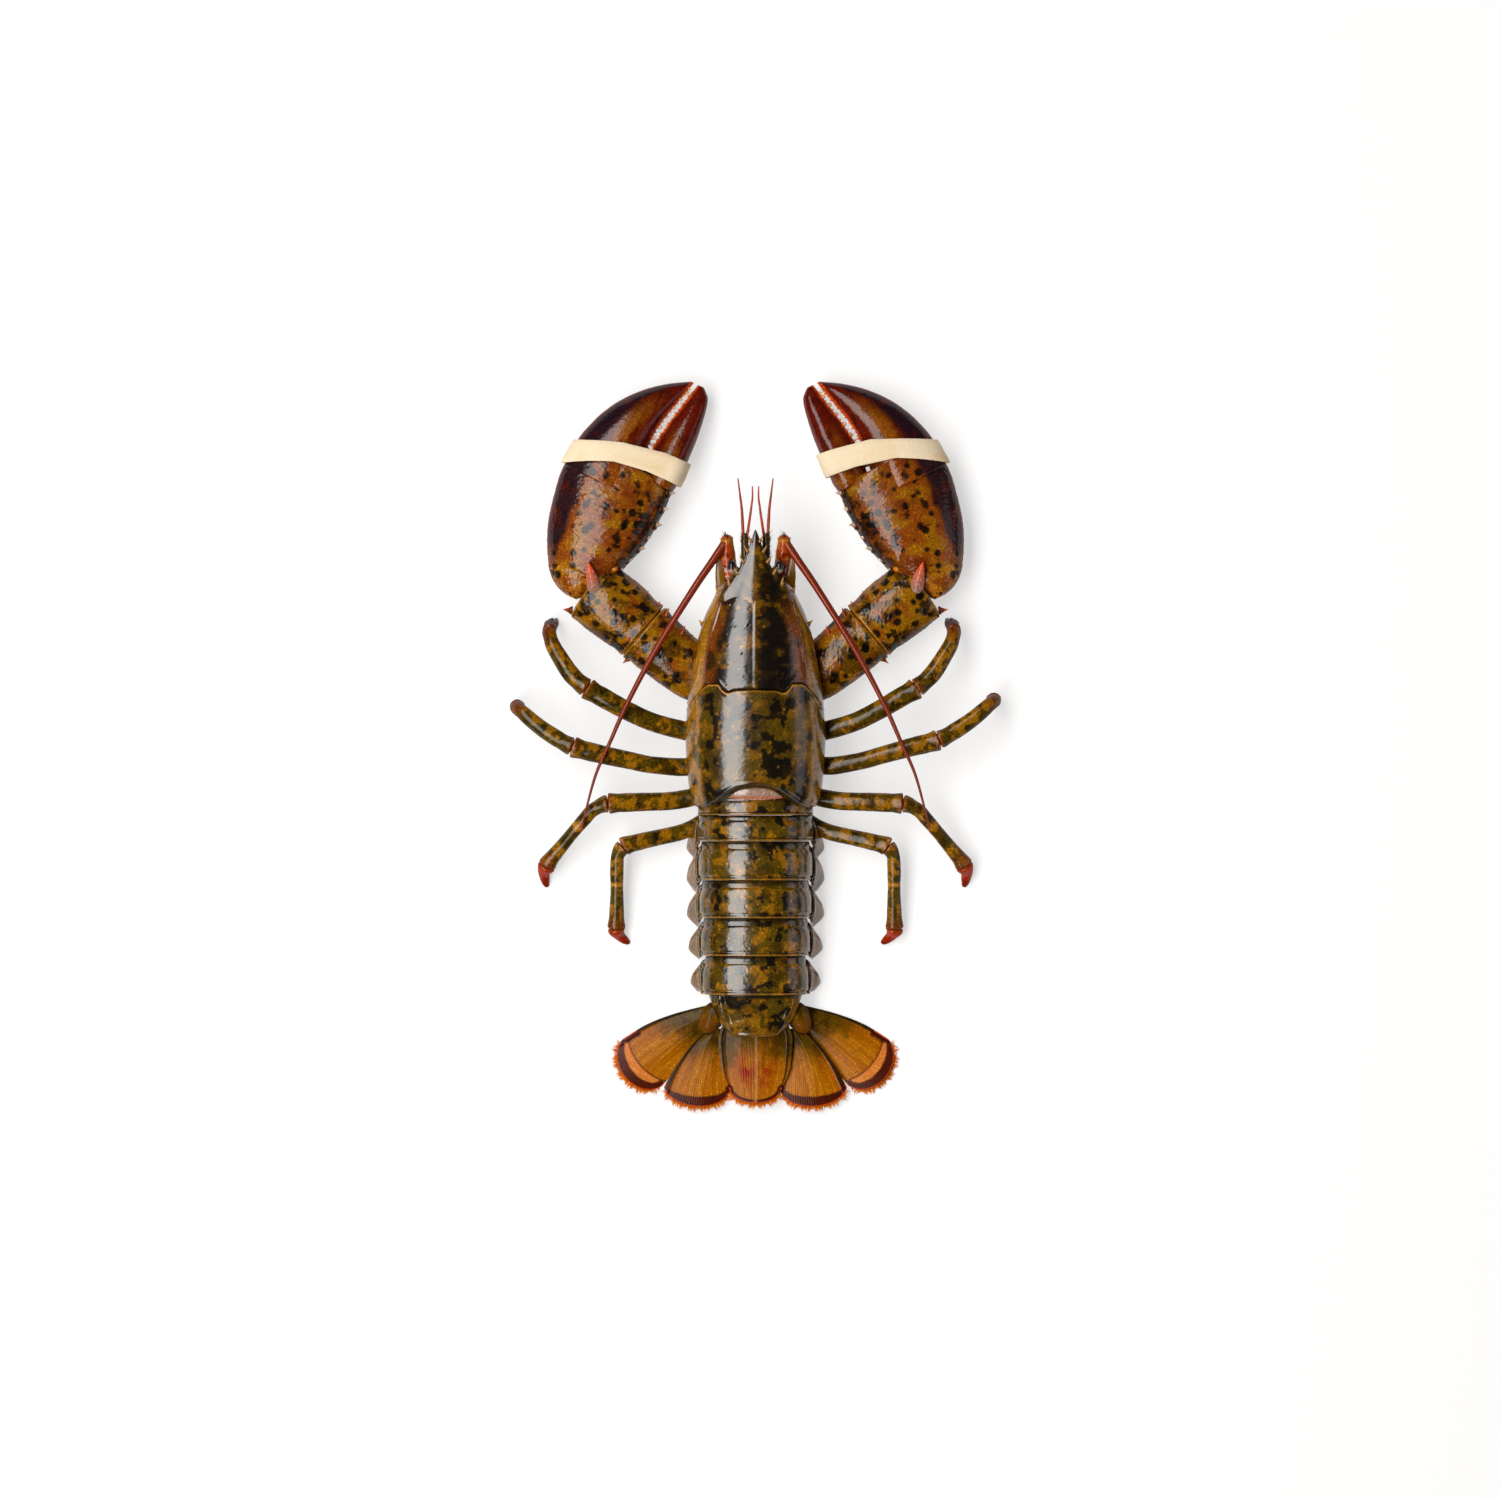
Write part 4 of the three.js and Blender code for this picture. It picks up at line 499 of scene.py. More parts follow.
class LobsterSizes(bpy.types.PropertyGroup):
    """Sizes of the surface relief and of how finely the pieces are made"""
    spacing: length_property("Spacing", "Distance between points on the shell", .62)
    groove: length_property("Groove depth", "Depth of the groove between head and thorax", .8)
    rim: length_property("Rim height", "Height of the rims of shell and rings", .35)
    grain: length_property("Grain height", "Height of the grains on claws and arms", .16)
    hair: length_property("Hair length", "Length of the tail fan's hairs", 3.3)
    band: length_property("Band thickness", "Thickness of the elastic bands", 1.2)
    hairs: IntProperty(name="Hairs", description="Hairs along each blade of the fan", default=620, min=10,
                       max=4000)


def tints():
    """The colours as arrays, by name."""
    group = bpy.context.scene.lobster_colours
    return {name: np.array(getattr(group, name)) for name in LobsterColours.__annotations__}


def size_of(name):
    """A size of the panel in mm."""
    return getattr(bpy.context.scene.lobster_sizes, name) * 1000


def build(name, node, slot, material, *skins):
    """Joins skins into one mesh in metres, with their colours as the Paint attribute, in place of a
    CAD node."""
    counts = np.cumsum([0] + [len(s.points) for s in skins])
    points = np.concatenate([s.points for s in skins]) / 1000
    triangles = np.concatenate([s.triangles + n for s, n in zip(skins, counts)])
    mesh = bpy.data.meshes.new(name)
    mesh.vertices.add(len(points))
    mesh.vertices.foreach_set("co", points.astype(np.float32).ravel())
    mesh.loops.add(triangles.size)
    mesh.loops.foreach_set("vertex_index", triangles.astype(np.int32).ravel())
    mesh.polygons.add(len(triangles))
    mesh.polygons.foreach_set("loop_start", np.arange(0, triangles.size, 3, dtype=np.int32))
    mesh.polygons.foreach_set("use_smooth", np.ones(len(triangles), bool))
    mesh.update(calc_edges=True)
    paint = mesh.color_attributes.new("Paint", "FLOAT_COLOR", "POINT")
    colours = np.concatenate([s.colour for s in skins])
    colours = np.concatenate([np.clip(colours, 0, 1), np.ones((len(points), 1))], 1)
    paint.data.foreach_set("color", colours.astype(np.float32).ravel())
    if any(s.roots is not None for s in skins) and all(s.roots is not None for s in skins):
        roots = np.concatenate([s.roots for s in skins])
        low, high = roots.min(0)[:2], roots.max(0)[:2]
        patch = (points * 1000 - roots)[:, :2]
        uv = (roots[:, :2] - low) / np.maximum(high - low, 1e-6).max() * .99 + patch / 1000
        layer = mesh.uv_layers.new(name="OFBake")
        layer.uv.foreach_set("vector", uv[triangles.ravel()].astype(np.float32).ravel())
    mesh.materials.append(material)
    piece = bpy.data.objects.new(name, mesh)
    bpy.context.scene.collection.objects.link(piece)
    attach(piece, "root")
    if node:
        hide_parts(node)
    return piece


# The wet coat's own roughness and refraction, and how far it follows the bump of cells and of noise.
COAT_ROUGHNESS, COAT_IOR = .17, 1.7
FILM_CELLS, FILM_NOISE = .3, .14


def finish_material(name, roughness, coat, grain, grain_size, speckle, cells=False):
    """Shell, hair or rubber: the Paint colour under fine specks and paler flecks, roughness that
    wanders, grains or pits as bump, and a wet coat that follows them only a little."""
    if name in bpy.data.materials:
        return bpy.data.materials[name]
    material = bpy.data.materials.new(name)
    material.use_nodes = True
    nodes, links = material.node_tree.nodes, material.node_tree.links
    shader = nodes["Principled BSDF"]
    shader.inputs["Coat Weight"].default_value = coat
    shader.inputs["Coat Roughness"].default_value = COAT_ROUGHNESS
    shader.inputs["Specular IOR Level"].default_value = 0
    shader.inputs["Coat IOR"].default_value = COAT_IOR
    paint = nodes.new("ShaderNodeAttribute")
    paint.attribute_name = "Paint"
    place = nodes.new("ShaderNodeTexCoord")

    def texture(kind, size, **settings):
        node = nodes.new(kind)
        links.new(place.outputs["Object"], node.inputs["Vector"])
        node.inputs["Scale"].default_value = 1 / size
        for key, value in settings.items():
            node.inputs[key].default_value = value
        return node

    fine = texture("ShaderNodeTexNoise", .0009, Detail=4)
    specks = nodes.new("ShaderNodeMapRange")
    for key, value in (("From Min", .3), ("From Max", .7), ("To Min", 1 - speckle),
                       ("To Max", 1 + speckle)):
        specks.inputs[key].default_value = value
    links.new(fine.outputs["Fac"], specks.inputs["Value"])
    dots = texture("ShaderNodeTexVoronoi", .0013)
    flecks = nodes.new("ShaderNodeMapRange")
    for key, value in (("From Min", .1), ("From Max", .34), ("To Min", 1 + 4 * speckle), ("To Max", 1)):
        flecks.inputs[key].default_value = value
    links.new(dots.outputs["Distance"], flecks.inputs["Value"])
    both = nodes.new("ShaderNodeMath")
    both.operation = "MULTIPLY"
    links.new(specks.outputs["Result"], both.inputs[0])
    links.new(flecks.outputs["Result"], both.inputs[1])
    tint = nodes.new("ShaderNodeVectorMath")
    tint.operation = "SCALE"
    links.new(paint.outputs["Color"], tint.inputs[0])
    links.new(both.outputs["Value"], tint.inputs["Scale"])
    links.new(tint.outputs["Vector"], shader.inputs["Base Color"])
    wander = texture("ShaderNodeTexNoise", .006, Detail=3)
    rough = nodes.new("ShaderNodeMapRange")
    for key, value in (("From Min", .3), ("From Max", .7), ("To Min", roughness * .75),
                       ("To Max", roughness * 1.3)):
        rough.inputs[key].default_value = value
    links.new(wander.outputs["Fac"], rough.inputs["Value"])
    links.new(rough.outputs["Result"], shader.inputs["Roughness"])
    relief = texture("ShaderNodeTexVoronoi", grain_size) if cells else texture(
        "ShaderNodeTexNoise", grain_size, Detail=3)
    bump = nodes.new("ShaderNodeBump")
    bump.inputs["Strength"].default_value = grain
    bump.inputs["Distance"].default_value = grain_size * (.16 if cells else .3)
    bump.invert = cells
    links.new(relief.outputs["Distance" if cells else "Fac"], bump.inputs["Height"])
    links.new(bump.outputs["Normal"], shader.inputs["Normal"])
    film = nodes.new("ShaderNodeBump")
    film.inputs["Strength"].default_value = grain * (FILM_CELLS if cells else FILM_NOISE)
    film.inputs["Distance"].default_value = bump.inputs["Distance"].default_value
    film.invert = cells
    links.new(relief.outputs["Distance" if cells else "Fac"], film.inputs["Height"])
    links.new(film.outputs["Normal"], shader.inputs["Coat Normal"])
    return material


def shell_finish():
    return finish_material("Wet shell", .3, .9, .45, .0012, .3)


def grained_finish():
    return finish_material("Grained claw shell", .36, .4, .6, .001, .3, cells=True)


def leg_finish():
    return finish_material("Leg shell", .34, .35, .4, .001, .3)


def fan_finish():
    return finish_material("Fan blade", .5, .12, .25, .0007, .18)


def feeler_finish():
    return finish_material("Feeler", .42, .4, .3, .0006, .15)


def eye_finish():
    return finish_material("Eye", .12, .8, .25, .00035, .05, cells=True)


def rubber_finish():
    return finish_material("Band rubber", .55, 0, .25, .0016, .03)


def hair_finish():
    return finish_material("Hair", .5, 0, .1, .0008, .2)


# Head and thorax

def shell_point(y, angle):
    """A point of the shell: above the widest level a rounded square arch, whose x is half the width
    times the sine wave and whose rise goes with the cosine wave, and below it the belly's outline."""
    a = np.abs(angle)
    half, widest = curve(SHELL_HALF)(y), curve(SHELL_WIDEST)(y)
    sine, cosine = arch_waves(a)
    x = half * np.where(a <= 90, sine, curve(BELLY_OUT)(a))
    z = np.where(a <= 90, widest + (curve(SHELL_CREST)(y) - widest) * cosine,
                 widest - (widest - curve(SHELL_BELLY)(y)) * curve(BELLY_DOWN)(a))
    return np.stack([np.sign(angle) * x, y, z], -1)


def body_grain(p):
    """Low uneven relief of the shell, in mm: broad dents and fine pits."""
    return .16 * (cloud(p, 7, 31, 2) - .5) + .07 * (cloud(p, 1.1, 32, 2) - .5)


def head_colour(p, c):
    """Near-black middle with ochre patches, a red-brown flank inside each cheek line, a thin orange line
    along it and a yellow ochre ribbon outside, all mottled. The middle's black blotches are denser on its
    right half, which is painted shade."""
    x, y = np.abs(p[..., 0]), p[..., 1]
    line = curve(CHEEK_LINE)(y)
    ground = mix(c["brown"], c["ochre"] * .75, .8 * blotches(p, 5, .53, 1, .12))
    ground = mix(ground, c["olive"] * .7, .5 * blotches(p, 9, .5, 7, .12))
    # Black blotches of the middle, with more of them to the right of the keel as painted shade.
    ground = mix(ground, c["black"], .9 * blotches(p, 6, .5 - .06 * step(0, 6, p[..., 0]), 2, .08)
                 * step(line, line * .6, x))
    ground = mix(ground, c["amber"] * .9, .7 * spots(p, 4.4, .8, .3, 3))
    inner = step(line - 6.5, line - 2, x) * step(line + .5, line - .6, x)
    warm = mix(c["rust"] * .9, c["brown"], .9 * blotches(p, 5, .5, 4, .12))
    ground = mix(ground, warm, .75 * inner * step(22, 32, y) * step(66, 52, y))
    ground = mix(ground, c["black"], .95 * hill(x - line + 1.2, 2.2) * step(29, 24, y) * (p[..., 2] > 30))
    flank = mix(c["ochre"] * 1.15, c["olive"], .7 * blotches(p, 5, .54, 5, .1))
    flank = mix(flank, c["black"], .6 * blotches(p, 4, .64, 6))
    colour = mix(ground, flank, step(line + .2, line + 1.2, x))
    colour = mix(colour, c["rust"] * .9, .9 * hill(x - line - .3, .6) * step(18, 30, y))
    colour = mix(colour, c["amber"], .5 * hill(x - line - 2.6, 1.2) * step(18, 30, y))
    colour = mix(colour, c["ochre"], .5 * hill(x, .35) * step(84, 60, y))
    return mix(colour, c["belly"], step(17, 9, p[..., 2]))


def thorax_colour(p, c):
    """Olive ground with ochre patches and black blotches, paler and yellower down the flanks. The black
    blotches are denser on the right half, which is painted shade.
    """
    x = np.abs(p[..., 0])
    colour = mix(c["olive"], c["ochre"], .6 * blotches(p, 4.4, .5, 11, .2))
    colour = mix(colour, c["brown"], .6 * blotches(p, 10, .5, 12, .14))
    # Black blotches, with more of them to the right of the keel as painted shade.
    colour = mix(colour, c["black"], .93 * blotches(p, 4.2, .55 - .045 * step(0, 6, p[..., 0]), 13, .05)
                 * step(28, 21, x))
    flank = mix(c["ochre"] * 1.1, c["olive"], blotches(p, 4, .5, 14, .12))
    flank = mix(flank, c["black"], .7 * blotches(p, 3.4, .6, 16))
    colour = mix(colour, flank, step(21, 26, x))
    colour = mix(colour, c["amber"], .5 * spots(p, 3, .6, .3, 15))
    return mix(colour, c["belly"], step(13, 8, p[..., 2]))


def shell_half(rear, front, around, rows, height):
    """The shell between two lines given as y at each angle, lifted by height(y, angle, points)."""
    angle = (np.arange(around) + .5) * 360 / around - 180
    t = np.linspace(0, 1, rows)[:, None]
    low, high = rear(np.abs(angle)), front(np.abs(angle))
    y = low + (high - low) * t
    angle = np.broadcast_to(angle, y.shape)
    grid = shell_point(y, angle)
    return raised(grid, height(y, angle, grid)), y, angle


def build_head():
    c = tints()
    groove = curve(GROOVE)
    depth, rim = size_of("groove"), size_of("rim")

    def height(y, angle, p):
        away = y - groove(np.abs(angle))
        line = curve(CHEEK_LINE)(y)
        ridge = .55 * hill(np.abs(p[..., 0]) - line, .7) * step(30, 50, y) * step(
            73, 66, y) * step(30, 34, p[..., 2])
        keel = .3 * hill(p[..., 0], .45) * step(34, 40, p[..., 2])
        knobs = .22 * spots(p, 2.4, .5, .5, 21) * step(
            22, 12, np.abs(p[..., 0] - np.sign(p[..., 0]) * line))
        edges = -.6 * depth * hill(away, .6) + .4 * rim * hill(away - 1.4, .8)
        return edges + ridge + keel + knobs + body_grain(p)

    around, rows = 300, int(58 / size_of("spacing"))
    grid, y, angle = shell_half(lambda a: groove(a) + .15, lambda a: a * 0 + SHELL_FRONT, around, rows,
                                height)
    colour = head_colour(grid, c)
    away = y - groove(np.abs(angle))
    # Painted shade: a dark line along the bottom of the groove between head and thorax.
    colour = mix(colour, c["black"] * .8, .8 * hill(away, .35))
    turn = np.radians(np.linspace(0, 90, 10)[1:])[:, None, None]
    last = grid[-1]
    middle = last.mean(0)
    nose = middle + (last - middle) * np.cos(turn) + np.array([0, 2.6, 0]) * np.sin(turn)
    colour = np.concatenate([colour, np.broadcast_to(mix(colour[-1], c["belly"], .5), nose.shape)])
    shell = closed_rings(np.concatenate([grid, nose]), colour)
    spines = []
    for _, side in SIDES:
        for x, y0, z, (dx, dy, dz), length in CHEEK_SPINES:
            spines.append(studs((side * x, y0, z), (side * dx, dy, dz), length, 1.1, c["ochre"],
                                c["amber"]))
        half, level = curve(ROSTRUM_HALF), curve(ROSTRUM_RIM)
        for y0, length in ROSTRUM_TEETH:
            spines.append(studs((side * .94 * half(y0), y0, level(y0)), (side * .5, .85, .22), length, .8,
                                c["ochre"], c["amber"]))
    jaws = [closed_rings(jaw_lump(side), c["belly"]) for _, side in SIDES]
    build("head_shell", "head", "head_shell", shell_finish(), shell, rostrum_skin(c), *spines, *jaws)


def jaw_lump(side):
    """A jaw under the head: an egg of half widths 3.4, 5 and 3.2 mm."""
    lat = np.linspace(-1.5, 1.5, 18)[:, None]
    lon = np.arange(24)[None] * 2 * np.pi / 24
    return np.stack([side * 3.6 + 3.4 * np.cos(lat) * np.cos(lon), 56 + 5 * np.sin(lat) + 0 * lon,
                     10.4 + 3.2 * np.cos(lat) * np.sin(lon)], -1)


def rostrum_skin(c):
    """The blade between the eyes: above, a low round crest that falls to a raised rim and sinks into
    the shell at its root, and below, a shallow keel, both set across the blade's half width."""
    y = np.linspace(56, ROSTRUM_TIP, 110)[:, None]
    turn = np.arange(72)[None] * 2 * np.pi / 72
    u, top = np.cos(turn), np.sin(turn)
    half, crest, rim, under = (
        curve(k)(y) for k in (ROSTRUM_HALF, ROSTRUM_CREST, ROSTRUM_RIM, ROSTRUM_UNDER))
    above = rim + (crest - rim) * (1 - np.abs(u) ** 1.7) + .06 * (rim - under) * hill(np.abs(u) - .88, .09)
    above = above - .08 * (crest - rim) * hill(np.abs(u) - .6, .2) - 3.4 * step(66, 57, y) * u * u
    below = rim - (rim - under) * np.sqrt(np.clip(1 - u * u, 0, 1))
    grid = np.stack([half * u + 0 * top, y + 0 * u, np.where(top > 0, above, below)], -1)
    colour = head_colour(grid, c)
    colour = mix(colour, c["brown"], .7 * blotches(grid, 3.4, .45, 43, .12))
    colour = mix(colour, c["ochre"], .6 * blotches(grid, 2.6, .56, 44, .08))
    edge = step(.62, .9, np.abs(u)) * np.ones_like(y)
    colour = mix(colour, mix(c["brown"], c["olive"], blotches(grid, 3, .5, 42, .1)),
                 .8 * edge * step(60, 68, y))
    colour = mix(colour, c["black"], .7 * hill(np.abs(u) - .7, .16) * step(60, 70, y))
    return closed_rings(raised(grid, .04 * (cloud(grid, 1.2, 41, 2) - .5)), colour)


def build_thorax():
    c = tints()
    groove, rear = curve(GROOVE), curve(REAR)
    depth, rim = size_of("groove"), size_of("rim")

    def height(y, angle, p):
        a = np.abs(angle)
        front, back = groove(a) - y, y - rear(a)
        edge = hill(a - 127, 2.2) * .4
        suture = -.3 * hill(p[..., 0], .3) * step(36, 40, p[..., 2])
        return (-.6 * depth * hill(front, .5) + rim * hill(front - 1, .7) + .5 * rim * hill(back - .5, .5)
                - .3 * rim * hill(back - 1.8, .6) + edge + suture + body_grain(p))

    around, rows = 320, int(56 / size_of("spacing"))
    grid, y, angle = shell_half(rear, lambda a: groove(a) - .15, around, rows, height)
    colour = thorax_colour(grid, c)
    front, back = groove(np.abs(angle)) - y, y - rear(np.abs(angle))
    top = step(80, 60, np.abs(angle))
    wing = step(14, 22, np.abs(angle)) * top
    colour = mix(colour, c["amber"] * 1.1, .85 * hill(front - .7, .4) * (.35 + .65 * wing))
    # Painted shade: dark along the bottom of the groove at the thorax's front.
    colour = mix(colour, c["black"] * .8, .85 * hill(front, .25))
    colour = mix(colour, c["black"], .8 * hill(back - .2, .4) * top)
    hips = [closed_rings(hip_lump(hip, side), mix(c["ochre"], c["belly"], .6))
            for _, side in SIDES for hip in HIPS]
    build("thorax_shell", "thorax", "back_shell", shell_finish(), closed_rings(grid, colour), *hips)


def hip_lump(hip, side):
    """The hip of an arm or leg: an egg about its centre, round its three half sizes."""
    x, y, z, *half = hip
    lat = np.linspace(-1.5, 1.5, 16)[:, None]
    lon = np.arange(24)[None] * 2 * np.pi / 24
    egg = np.stack([np.cos(lat) * np.cos(lon), np.sin(lat) + 0 * lon, np.cos(lat) * np.sin(lon)], -1)
    return egg * half + (-side * x, y, z)


# Tail

def arch(angle, half, crest, level, under, y):
    """A ring's outline: a rounded arch above its level, and below it the flat underside."""
    a = np.abs(angle)
    sine, cosine = arch_waves(a)
    x = half * np.where(a <= 90, sine, curve(RING_OUT)(a))
    z = np.where(a <= 90, level + (crest - level) * cosine, level - (level - under) * curve(RING_DOWN)(a))
    return np.stack([np.sign(angle) * x, y + 0 * a, z], -1)


def ring_colour(p, c, seed):
    """Dark olive with golden ochre patches, black blotches and amber specks, paler down the sides."""
    colour = mix(c["olive"] * 1.1, c["ochre"] * 1.1, .85 * blotches(p, 3.4, .5, seed, .1))
    colour = mix(colour, c["olive"] * .5, .8 * blotches(p, 5, .52, seed + 1, .14))
    colour = mix(colour, c["brown"], .5 * blotches(p, 9, .53, seed + 5, .14))
    colour = mix(colour, c["black"], .93 * blotches(p, 3.4, .565, seed + 2, .04))
    side = step(17, 23, np.abs(p[..., 0]))
    colour = mix(colour, mix(c["olive"], c["ochre"], blotches(p, 3, .5, seed + 4, .1)) * .9, .6 * side)
    return mix(colour, c["amber"], .55 * spots(p, 2.2, .4, .25, seed + 3))


def ring_sheet(ring, c, seed):
    """A ring's shell with its side lobes as one sheet: across it the arch, then down each side a lobe
    between a front line, which bows outwards, and a nearly straight rear line, which meet by the tip."""
    front, rear, half, crest, level, _, waist, lobe = ring
    reach = front - rear
    u = np.linspace(0, 1, max(24, int(reach / .42)))[:, None]
    v = np.linspace(-1, 1, 320)[None]
    split = .66 if lobe else 1.0
    a = 90 * np.clip(np.abs(v) / split, 0, 1)
    wide = half * (1 - waist * (1 - curve(RING_WIDE)(u)))
    sine, cosine = arch_waves(a)
    x = wide * sine
    z = level + (crest - level) * curve(RING_RISE)(u) * cosine
    bend = 1.6 * np.sin(np.radians(a)) ** 4 * step(0, .3, u) * step(1, .7, u)
    y = front - .15 - (reach - .3) * u + 0 * v - bend
    w = 0 * v
    if lobe:
        out, tip_y, tip_x = lobe
        w = np.clip((np.abs(v) - split) / (1 - split), 0, 1)
        sweep = front - tip_y
        fore = curve([(0, .15), (.25, .18 * sweep), (.5, .36 * sweep), (.7, .54 * sweep),
                      (.87, .74 * sweep), (1, .96 * sweep)])(w)
        aft = reach - .15 + (sweep - reach + .15) * w ** .8
        fore_x = curve([(0, half), (.25, half + .3), (.5, mix(half, out, .5)), (.7, out - .7), (.87, out),
                        (1, tip_x)])(w)
        aft_x = curve([(0, half), (.4, half), (.8, half + .4), (1, half + .9)])(w)
        fore_z = curve([(0, level), (.25, level - 2), (.5, level - 5.5), (.7, 4.8), (.87, 2.4),
                        (1, 1.1)])(w)
        aft_z = curve([(0, level), (.5, level - 4), (1, 2.6)])(w)
        bow = (1 - (2 * u - 1) ** 2) * step(0, .3, w) * step(1, .8, w)
        on = w > 0
        x = np.where(on, mix(fore_x, aft_x, u) + .9 * bow - (half - wide) * step(.3, 0, w), x)
        z = np.where(on, mix(fore_z, aft_z, u) + 1.2 * bow, z)
        y = np.where(on, front - mix(fore, aft, u), y)
    grid = np.stack([np.sign(v) * np.minimum(x, 30.6), y, z + 0 * x], -1)
    rim = size_of("rim")
    behind = reach * (1 - u)
    ends = rim * hill(behind - .5, .5) - .9 * rim * hill(behind - 1.6, .6) - 1.2 * rim * hill(u - .17, .045)
    fold = -.5 * hill(w - .08, .06) * (w > 0) + .4 * hill(w - .3, .1) * (w > 0)
    outer = raised(grid, ends * step(.9, .3, w) + fold + 1.2 * body_grain(grid), False)
    inner = grid - normals(grid, False) * (.9 - .4 * w)[..., None]
    colour = ring_colour(outer, c, seed)
    # Painted shadow: the ring's front, under the rear edge of the ring before it, is darkened.
    colour = mix(colour, c["black"], .6 * step(.2, .1, u) * step(.3, .1, w))
    colour = mix(colour, c["amber"] * .85, .65 * hill(behind - .3, .35) * step(.5, .1, w))
    # Painted shade: a dark line in the dent just in front of the rear rim.
    colour = mix(colour, c["black"] * .7, .8 * hill(behind - 1.2, .35) * step(.5, .1, w))
    colour = mix(colour, mix(c["ochre"], c["rust"], .4),
                 .6 * step(.1, .5, w) * (1 - blotches(outer, 3, .5, seed + 8)))
    edge = np.maximum(hill(u, .05) * step(.3, .6, w), hill(1 - w, .06) * (w > 0))
    colour = mix(colour, mix(c["orange"], c["amber"], .4), .75 * edge)
    colour = mix(colour, c["black"], .85 * hill(w - .06, .05) * step(.15, .5, u) * (w > 0))
    colour = mix(colour, c["black"], .6 * step(.6, .95, u) * step(.1, .4, w) * step(1, .85, w))
    return walled(outer, inner, colour, c["belly"])


def ring_belly(ring, c):
    """The flesh inside a ring, whose underside shows between its lobes, with one raised bar across."""
    front, rear, half, crest, level, under, waist, _ = ring
    y = np.linspace(front - .2, rear + .2, 18)[:, None]
    angle = (np.arange(96) + .5)[None] * 360 / 96 - 180
    share = .95 - waist * (1 - curve(RING_WIDE)((front - y) / (front - rear)))
    grid = arch(angle, half * share, level + (crest - level) * .9 + 0 * y, level, under, y)
    stripe = hill((y - (front + rear) / 2), 1.2) * np.ones_like(angle)
    colour = mix(c["belly"] * .8, c["skin"] * .8, .6 * stripe)
    return closed_rings(raised(grid, .3 * stripe), mix(colour, c["rust"], .4 * blotches(grid, 4, .55, 44)))


def leaf(ring, side, c):
    """A swimmeret: a thin leaf that hangs under the ring and lies back along it."""
    front, rear, _, _, _, under, _, _ = ring
    middle = front + .45 * (rear - front)
    rows = [(side * 9.5, middle, under + 1.2, 1.8, 1), (side * 10.4, middle - 3, under - 1.6, 2.6, .7),
            (side * 11, middle - 7.5, under - 3, 2.9, .6), (side * 11.2, middle - 11, under - 3.8, 1.2, .4)]
    grid, near, _ = limb_grid(rows, 0, 3, 20, .5, (0, .8), 0)
    return closed_rings(grid, mix(c["ochre"], c["orange"] * .7, step(2, 9, near)))


def build_tail():
    c = tints()
    for number, ring in enumerate(RINGS, 1):
        skins = [ring_sheet(ring, c, 50 + 7 * number), ring_belly(ring, c)]
        if number == 1:
            skins.append(hinge_skin(c))
        elif number > 2:
            skins += [leaf(ring, side, c) for _, side in SIDES]
        build(f"tail_shell_{number}", f"tail_ring_{number}", "back_shell", shell_finish(), *skins)
    build("tail_shell_7", "tail_ring_7", "back_shell", shell_finish(), last_ring(c))


def hinge_skin(c):
    """The pale skin between shell and tail, an arch that ends in a thin orange rim."""
    y = np.linspace(-8, -25, 60)[:, None]
    share = curve([(-25, .9), (-23.4, .94), (-20.5, .985), (-15, .93), (-8, .8)])(y)
    rise = curve([(-25, .875), (-23.4, .925), (-20.5, .98), (-15, .91), (-8, .75)])(y)
    angle = (np.arange(200) + .5)[None] * 360 / 200 - 180
    skin = arch(angle, 23 * share, 18 + 19.8 * rise, 18, 15.8, y)
    wrinkle = .1 * (cloud(skin * (.4, 1, 1), 1.2, 61, 2) - .5)
    pale = mix(c["skin"], c["skin"] * (.62, .5, .46), .8 * cloud(skin, 3, 60))
    pale = mix(pale, c["rust"], .5 * step(-17, -14, y) * np.ones_like(angle))
    pale = mix(pale, c["orange"], .85 * hill(y + 22.9, .35) * np.ones_like(angle))
    return closed_rings(raised(skin, wrinkle), pale)


def last_ring(c):
    """The last ring, which narrows to a rounded rear edge between two glossy folds."""
    y = np.linspace(-109.95, -128.4, 70)[:, None]
    angle = (np.arange(220) + .5)[None] * 360 / 220 - 180
    grid = arch(angle, curve(LAST_HALF)(y), curve(LAST_CREST)(y), 10.5, 6.2, y)
    rim = size_of("rim")
    back = hill(y + 127.6, .6) * np.ones_like(angle)
    folds = .7 * hill(np.abs(angle) - 52, 7) * step(-126, -119, y) - .4 * hill(
        np.abs(angle) - 40, 5) * step(-124, -118, y)
    colour = ring_colour(grid, c, 99)
    # Painted shadow: dark across the front, under the rear edge of the ring before it.
    colour = mix(colour, c["black"], .8 * hill(y + 110.6, .7) * np.ones_like(angle))
    colour = mix(colour, c["ochre"] * .63, .7 * back)
    colour = mix(colour, c["ochre"] * .7, .4 * hill(np.abs(angle) - 60, 5) * step(-112, -118, y))
    return closed_rings(raised(grid, rim * back + folds + .25 * (cloud(grid, 3, 71) - .5)), colour)


# Tail fan

def spread(values):
    return curve([(i / (len(values) - 1), value) for i, value in enumerate(values)])


def blade_place(shape, t, v):
    """A point of a blade's plan: between its two edge lines, which t follows from root to end, with
    the end pushed out in a round bulge of t^2.4 (4v(1-v))^0.52."""
    edges = [[spread([point[k] for point in shape[line]])(t) for k in (0, 1)] for line in ("near", "far")]
    push = t ** 2.4 * (4 * v * (1 - v)) ** .52
    return [edges[0][k] * (1 - v) + edges[1][k] * v + shape["bulge"][k] * push for k in (0, 1)]


